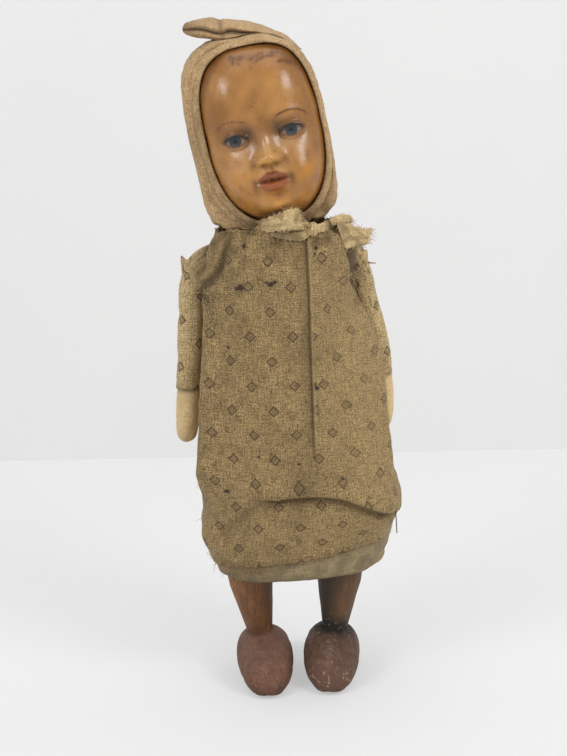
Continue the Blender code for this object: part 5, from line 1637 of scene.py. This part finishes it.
# Each run of the bow: its path, arch, shade and torn ends
BOW_RUNS = {
    "bow_right_loop": (
        (
            ((-1.5, 0, 2.2, 3.4, 0), (-6, 2.6, 1.6, 7.6, 0),
             (-13, 3.4, 1.2, 8.0, 5), (-20, 2.6, 1.0, 7.0, 8)),
            0.3, 0.7, "",
        ),
        (
            ((-5.6, 5.0, 4.6, 10.4, -12), (-10, 5.4, 4.6, 10.4, -4), (-15, 4.4, 3.8, 9.2, 3),
             (-20.5, 3.4, 2.4, 7.8, 8), (-26, 2.6, 1.0, 5.2, 12)),
            3.2, 0.0, "first last",
        ),
        (
            ((-1.5, -1.5, 1.8, 2.0, 0), (-7, -3.4, 1.2, 4.8, -20),
             (-14, -2.6, 1.0, 4.4, -10), (-21, -1.4, 0.9, 2.0, 0)),
            0.4, 0.55, "last",
        ),
    ),
    "bow_left_loop": (
        (
            ((1.5, 0, 2.2, 3.6, 0), (6, 0.9, 2.2, 4.8, -8),
             (9, 1.4, 1.6, 6.6, -12), (15, 1.4, 1.0, 7.4, -18)),
            0.9, 0.8, "",
        ),
        (
            ((9, 3.0, 2.0, 3.0, -20), (12.5, 4.0, 3.0, 4.6, -28),
             (16, 4.4, 3.6, 4.8, -30), (19, 4.4, 3.4, 3.8, -30)),
            0.8, 0.0, "last",
        ),
        (
            ((13.4, -3.0, 5.4, 13, -16), (16.5, -4.0, 5.6, 12.6, 4), (21, -5.2, 4.4, 11, 24),
             (25, -5.4, 3.0, 9.4, 22), (28.6, -5.0, 1.4, 7.8, 15)),
            1.8, 0.0, "first last",
        ),
    ),
}
# How much the camera's line falls for each step back
VIEW_SLOPE = 0.21


def front_of(dress, x, z, evened=2.2 * MM):
    """Where the front of the dress lies behind points (x, z), evened out over a small distance."""
    lowest = min(z.min(), NECKLINE) - 8 * MM
    front = dress[(dress[..., 1] < 0) & (dress[..., 2] > lowest) & (dress[..., 2] < z.max() + 8 * MM)]
    away = (front[:, 0] - x[..., None]) ** 2 + (front[:, 2] - z[..., None]) ** 2
    share = np.exp((away.min(-1, keepdims=True) - away) / (2 * evened ** 2))
    return (share * front[:, 1]).sum(-1) / share.sum(-1)


def laid(points, lift, dress):
    """A strip slid along the camera's line until each point lies its lift away from the dress."""
    x, y, z = (points[..., i] for i in range(3))
    back = np.zeros_like(y)
    for _ in range(3):
        back = front_of(dress, x, z - VIEW_SLOPE * back) - lift - y
    return stacked(x, y + back, z - VIEW_SLOPE * back)


def make_knot(middle):
    turn, down = np.meshgrid(full_turn(48), np.linspace(0.08, math.pi - 0.08, 30)[::-1])
    half = np.array([2.5, 3.2, 3.3]) * MM
    points = stacked(np.sin(down) * np.sin(turn), -np.sin(down) * np.cos(turn), np.cos(down)) * half
    grooves = np.sin(7 * turn + 2.5 * down + 0.8 * np.sin(2 * down))
    points *= (1 + 0.08 * grooves + 0.03 * np.sin(13 * turn))[..., None]
    # Painted shade in the knot's grooves.
    spots = [(0.6 * np.clip(-grooves, 0, 1) ** 2, (86, 64, 40))]
    colours = marks_and_shading_of(turn.shape, spots)
    knot = grid_object("bow_knot_cloth", points + middle, wrap=True, caps="both", colours=colours)
    weld(knot)
    paint_with(knot, BOW)
    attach(knot, "torso")
    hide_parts("bow_knot")
    return knot


def make_bow(dress):
    """A torn strip tied at the neckline: the knot, and on each side the runs of cloth that leave it."""
    low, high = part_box("bow_knot")
    middle = np.array((low + high) / 2) + np.array([2.4, 0, 4.6]) * MM
    back = front_of(dress, middle[:1], middle[2:])[0] - 2.6 * MM - middle[1]
    middle += np.array([0, back, -VIEW_SLOPE * back])
    knot = make_knot(middle)
    ends = []
    for number, (node, runs) in enumerate(BOW_RUNS.items()):
        grids = []
        for i, (path, arch, shade, torn) in enumerate(runs):
            grid = strip_grid(path, arch, shade, middle, 111 + 10 * number + i, torn, dress)
            grids.append(grid)
            if "first" in torn:
                ends.append(grid[0][::-1])
            if "last" in torn:
                ends.append(grid[0])
        side = joined(node + "_strip", grids, 0.45 * MM, BOW)
        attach(side, "torso")
        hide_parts(node)
    return ends


# Moth holes and loose threads


def make_holes(dress):
    """Small ragged spots on the front of the dress: the moth holes, with the shaded inside painted dark."""
    rng = np.random.default_rng(141)
    corners = 14
    turns = full_turn(corners)
    places, faces = [], []
    for x, z, size in HOLES:
        reach = size * (0.65 + 0.6 * rng.random(corners))
        rim_x, rim_z = x + 1.1 * reach * np.sin(turns), z + 0.8 * reach * np.cos(turns)
        rim = stacked(np.append(rim_x, x), np.zeros(corners + 1), np.append(rim_z, z)) * MM
        rim[:, 1] = front_of(dress, rim[:, 0], rim[:, 2], 0.7 * MM) - 0.15 * MM
        first = len(places)
        places.extend(rim.tolist())
        faces.extend([first + i, first + (i + 1) % corners, first + corners] for i in range(corners))
    mesh = bpy.data.meshes.new("moth_hole_shade")
    mesh.from_pydata(places, [], faces)
    holes = new_object("moth_hole_shade", mesh)
    paint_with(holes, DARK_THREAD_AND_SHADE)
    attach(holes, "torso")


def fray(name, body, starts, ways, lengths, seed, material, radius=0.09 * MM, droop=0.25):
    rng = np.random.default_rng(seed)
    obj = threads_object(name, thread_lines(rng, starts, ways, lengths, droop), radius, material)
    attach(obj, body)
    return obj


# Tufts of loose threads on the dress: x, z, how many, how long, material
TUFTS = (
    (-39, 216, 16, 7.0, DARK_THREAD_AND_SHADE), (-37.5, 217, 10, 5.0, PALE_THREAD), (40, 224, 12, 6.0, PALE_THREAD),
    (-21.5, 221.5, 7, 2.2, DARK_THREAD_AND_SHADE), (-5.5, 224, 10, 2.6, DARK_THREAD_AND_SHADE), (14, 171, 6, 2.2, DARK_THREAD_AND_SHADE),
    (-44, 100, 9, 4.0, PALE_THREAD), (-45, 120, 8, 3.0, PALE_THREAD),
)


# From where to where, by x, the front of the hem is torn
TORN_HEM = (-36 * MM, -4 * MM)


def make_frays(dress, bow_ends):
    rng = np.random.default_rng(77)
    starts, ways, lengths = [], [], []
    columns = dress.shape[1]
    for i in range(columns):
        place = dress[0, i]
        out = np.array([place[0], place[1], 0]) / np.hypot(place[0], place[1])
        torn = 3 if TORN_HEM[0] < place[0] < TORN_HEM[1] and place[1] < 0 else 1
        for _ in range(torn):
            starts.append(place - out * 0.3 * MM)
            away = out * rng.uniform(-0.1, 0.5)
            ways.append(away + np.array([rng.uniform(-0.6, 0.6), 0, -rng.uniform(0.2, 1.0)]))
            lengths.append(rng.uniform(0.8, 2.2 + 1.4 * (torn - 1)) * MM)
    fray("hem_fray", "torso", starts, ways, lengths, 78, THREAD)
    starts, ways, lengths = [], [], []
    for i in range(0, columns, 2):
        place = dress[-1, i]
        starts.append(place)
        ways.append(np.array([rng.uniform(-0.5, 0.5), rng.uniform(-0.4, 0.2), rng.uniform(0.3, 1.0)]))
        lengths.append(rng.uniform(0.6, 1.8) * MM)
    fray("neckline_fray", "torso", starts, ways, lengths, 79, THREAD)
    starts, ways, lengths = [], [], []
    for points in bow_ends:
        way = points[-1].mean(0) - points[-6].mean(0)
        way /= np.linalg.norm(way)
        for place in np.concatenate([points[-1], points[-1, ::2]]):
            starts.append(place)
            ways.append(way + rng.normal(size=3) * 0.45)
            lengths.append(rng.uniform(0.6, 2.2) * MM)
        for row in range(6, len(points), 3):
            for edge in (0, -1):
                starts.append(points[row, edge])
                across = points[row, edge] - points[row, points.shape[1] // 2]
                ways.append(across / (6 * MM) + rng.normal(size=3) * 0.4)
                lengths.append(rng.uniform(0.5, 1.5) * MM)
    fray("bow_fray", "torso", starts, ways, lengths, 80, PALE_THREAD)
    front = dress[dress[..., 1] < -10 * MM]
    for i, (x, z, count, long, material) in enumerate(TUFTS):
        seat = front[np.argmin(np.hypot(front[:, 0] - x * MM, front[:, 2] - z * MM))]
        starts = [seat + rng.normal(size=3) * 0.6 * MM for _ in range(count)]
        ways = [rng.normal(size=3) * np.array([1.0, 0.3, 0.7]) + np.array([0, -0.5, 0]) for _ in range(count)]
        lengths = rng.uniform(0.4, 1.0, count) * long * MM
        fray(f"tuft_{i}", "torso", starts, ways, lengths, 90 + i, material)
    side = dress[np.abs(dress[..., 2] - 101 * MM) < 1.5 * MM]
    seat = side[np.argmax(side[:, 0] - 0.5 * side[:, 1])]
    share = np.linspace(0, 1, 14)
    sway = 0.35 * np.sin(2.2 * share) + np.where(share > 0.85, 0.9 * share - 0.7, 0)
    hook = seat + stacked(sway, -0.3, -12 * share) * MM
    thread = threads_object("hem_thread", [hook], 0.28 * MM, DARK_THREAD_AND_SHADE)
    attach(thread, "torso")


# Finish of the solids that stay


def dress_solids():
    finishes = {"hip_block": RAW_WOOD, "neck_peg": RAW_WOOD, "hip_axle": IRON}
    for side, _ in SIDES:
        finishes[f"{side}_leg"] = LEG_WOOD
        for where in ("inner", "outer"):
            finishes[f"{side}_{where}_hip_washer"] = IRON
    for node, material in finishes.items():
        paint_with(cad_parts[node], material)


# Studio


def plain_material(name, colour, roughness):
    build = Nodes(name)
    place = build.place()
    tone = build.ramp(build.noise(place, 6.0, 2.0), 0.3, 0.7)
    shade = build.mix(tone, tuple(0.985 * c for c in colour), colour)
    return build.finish(shade, roughness)


def seeing_rays(tree):
    """1 for the rays by which a camera, a mirror or glass sees the backdrop."""
    rays = tree.nodes.new("ShaderNodeLightPath")
    seen = rays.outputs["Is Camera Ray"]
    for kind in ("Is Glossy Ray", "Is Transmission Ray"):
        either = tree.nodes.new("ShaderNodeMath")
        either.operation = "MAXIMUM"
        tree.links.new(seen, either.inputs[0])
        tree.links.new(rays.outputs[kind], either.inputs[1])
        seen = either.outputs[0]
    return seen


def end_in_mix(tree, output, factor, first, second):
    """Ends a node tree in a mix of two shaders."""
    mix = tree.nodes.new("ShaderNodeMixShader")
    for source, socket in zip((factor, first, second), mix.inputs):
        tree.links.new(source, socket)
    tree.links.new(mix.outputs[0], tree.nodes[output].inputs["Surface"])


def paler_floor(material, share, strength):
    """A floor that is seen partly as even white, so that the shadow on it is soft."""
    tree = material.node_tree
    amount = tree.nodes.new("ShaderNodeMath")
    amount.operation = "MULTIPLY"
    tree.links.new(seeing_rays(tree), amount.inputs[0])
    amount.inputs[1].default_value = share
    white = tree.nodes.new("ShaderNodeEmission")
    white.inputs["Strength"].default_value = strength
    lit = tree.nodes["Principled BSDF"].outputs[0]
    end_in_mix(tree, "Material Output", amount.outputs[0], lit, white.outputs[0])
    return material


def open_behind(material):
    """A wall that a camera behind it sees through."""
    tree = material.node_tree
    behind = tree.nodes.new("ShaderNodeNewGeometry").outputs["Backfacing"]
    clear = tree.nodes.new("ShaderNodeBsdfTransparent").outputs[0]
    end_in_mix(tree, "Material Output", behind, tree.nodes["Principled BSDF"].outputs[0], clear)
    return material


def make_world(lighting, shown):
    """An even light all round, which a camera or a mirror sees as a pale backdrop."""
    world = bpy.data.worlds.new("studio")
    bpy.context.scene.world = world
    world.use_nodes = True
    tree = world.node_tree
    even, pale = tree.nodes["Background"], tree.nodes.new("ShaderNodeBackground")
    for light, strength in ((even, lighting), (pale, shown)):
        light.inputs["Color"].default_value = (1, 1, 1, 1)
        light.inputs["Strength"].default_value = strength
    end_in_mix(tree, "World Output", seeing_rays(tree), even.outputs[0], pale.outputs[0])


# Each lamp: its name, place, size and watts
LAMPS = (
    ("key left", (-0.85, -0.7, 0.8), 0.45, 5.3),
    ("key right", (0.8, -0.7, 0.85), 0.45, 6.5),
    ("top", (0.0, -0.1, 1.5), 1.2, 5.2),
)
LIT_POINT = Vector((0, 0, 0.2))


def make_studio():
    mesh = bpy.data.meshes.new("backdrop")
    wall_y, far, front, height = 0.36, 1.6, -1.4, 1.8
    slant = 0.055 * far
    foot_left, foot_right = (-far, wall_y + slant), (far, wall_y - slant)
    verts = [(-far, front, 0), (far, front, 0), (*foot_right, 0), (*foot_left, 0)]
    verts += [(*foot_left, height), (*foot_right, height)]
    mesh.from_pydata(verts, [], [(0, 1, 2, 3), (3, 2, 5, 4)])
    floor = plain_material("floor white", srgb(238, 238, 238), roughness=0.7)
    mesh.materials.append(paler_floor(floor, share=0.5, strength=0.84))
    wall = plain_material("wall white", srgb(234, 234, 234), roughness=0.8)
    mesh.materials.append(open_behind(wall))
    mesh.polygons[1].material_index = 1
    backdrop = new_object("backdrop", mesh)
    for name, place, size, watts in LAMPS:
        light = bpy.data.lights.new(name, "AREA")
        light.shape = "SQUARE"
        light.size = size
        light.energy = watts
        lamp = new_object(name, light)
        lamp.location = place
        lamp.rotation_euler = (LIT_POINT - Vector(place)).to_track_quat("-Z", "Y").to_euler()
    make_world(lighting=0.38, shown=0.8)


CAMERA_PLACE = Vector((-0.002, -0.9, 0.43))
CAMERA_DOWN = math.radians(16.4)
CAMERA_ROLL = math.radians(-2.3)


def make_camera():
    data = bpy.data.cameras.new("camera")
    data.lens = 85.95
    data.sensor_width = 36
    camera = new_object("camera", data)
    turn = Matrix.Rotation(math.pi / 2 - CAMERA_DOWN, 4, "X") @ Matrix.Rotation(CAMERA_ROLL, 4, "Z")
    camera.matrix_world = Matrix.Translation(CAMERA_PLACE) @ turn
    bpy.context.scene.camera = camera


make_camera()
make_studio()
dress_points = make_dress()
make_petticoat()
make_torso()
for side, sign in SIDES:
    make_sleeve(side, sign, dress_points)
    make_hand(side, sign)
    make_stitch(side, sign)
    make_shoe(side, sign)
    make_leg(side, sign)
make_face()
make_hood()
make_hood_band()
make_hood_peak()
make_head_stuffing()
make_neck()
bow_ends = make_bow(dress_points)
make_holes(dress_points)
make_frays(dress_points, bow_ends)
dress_solids()
bpy.context.scene.view_settings.view_transform = "Standard"
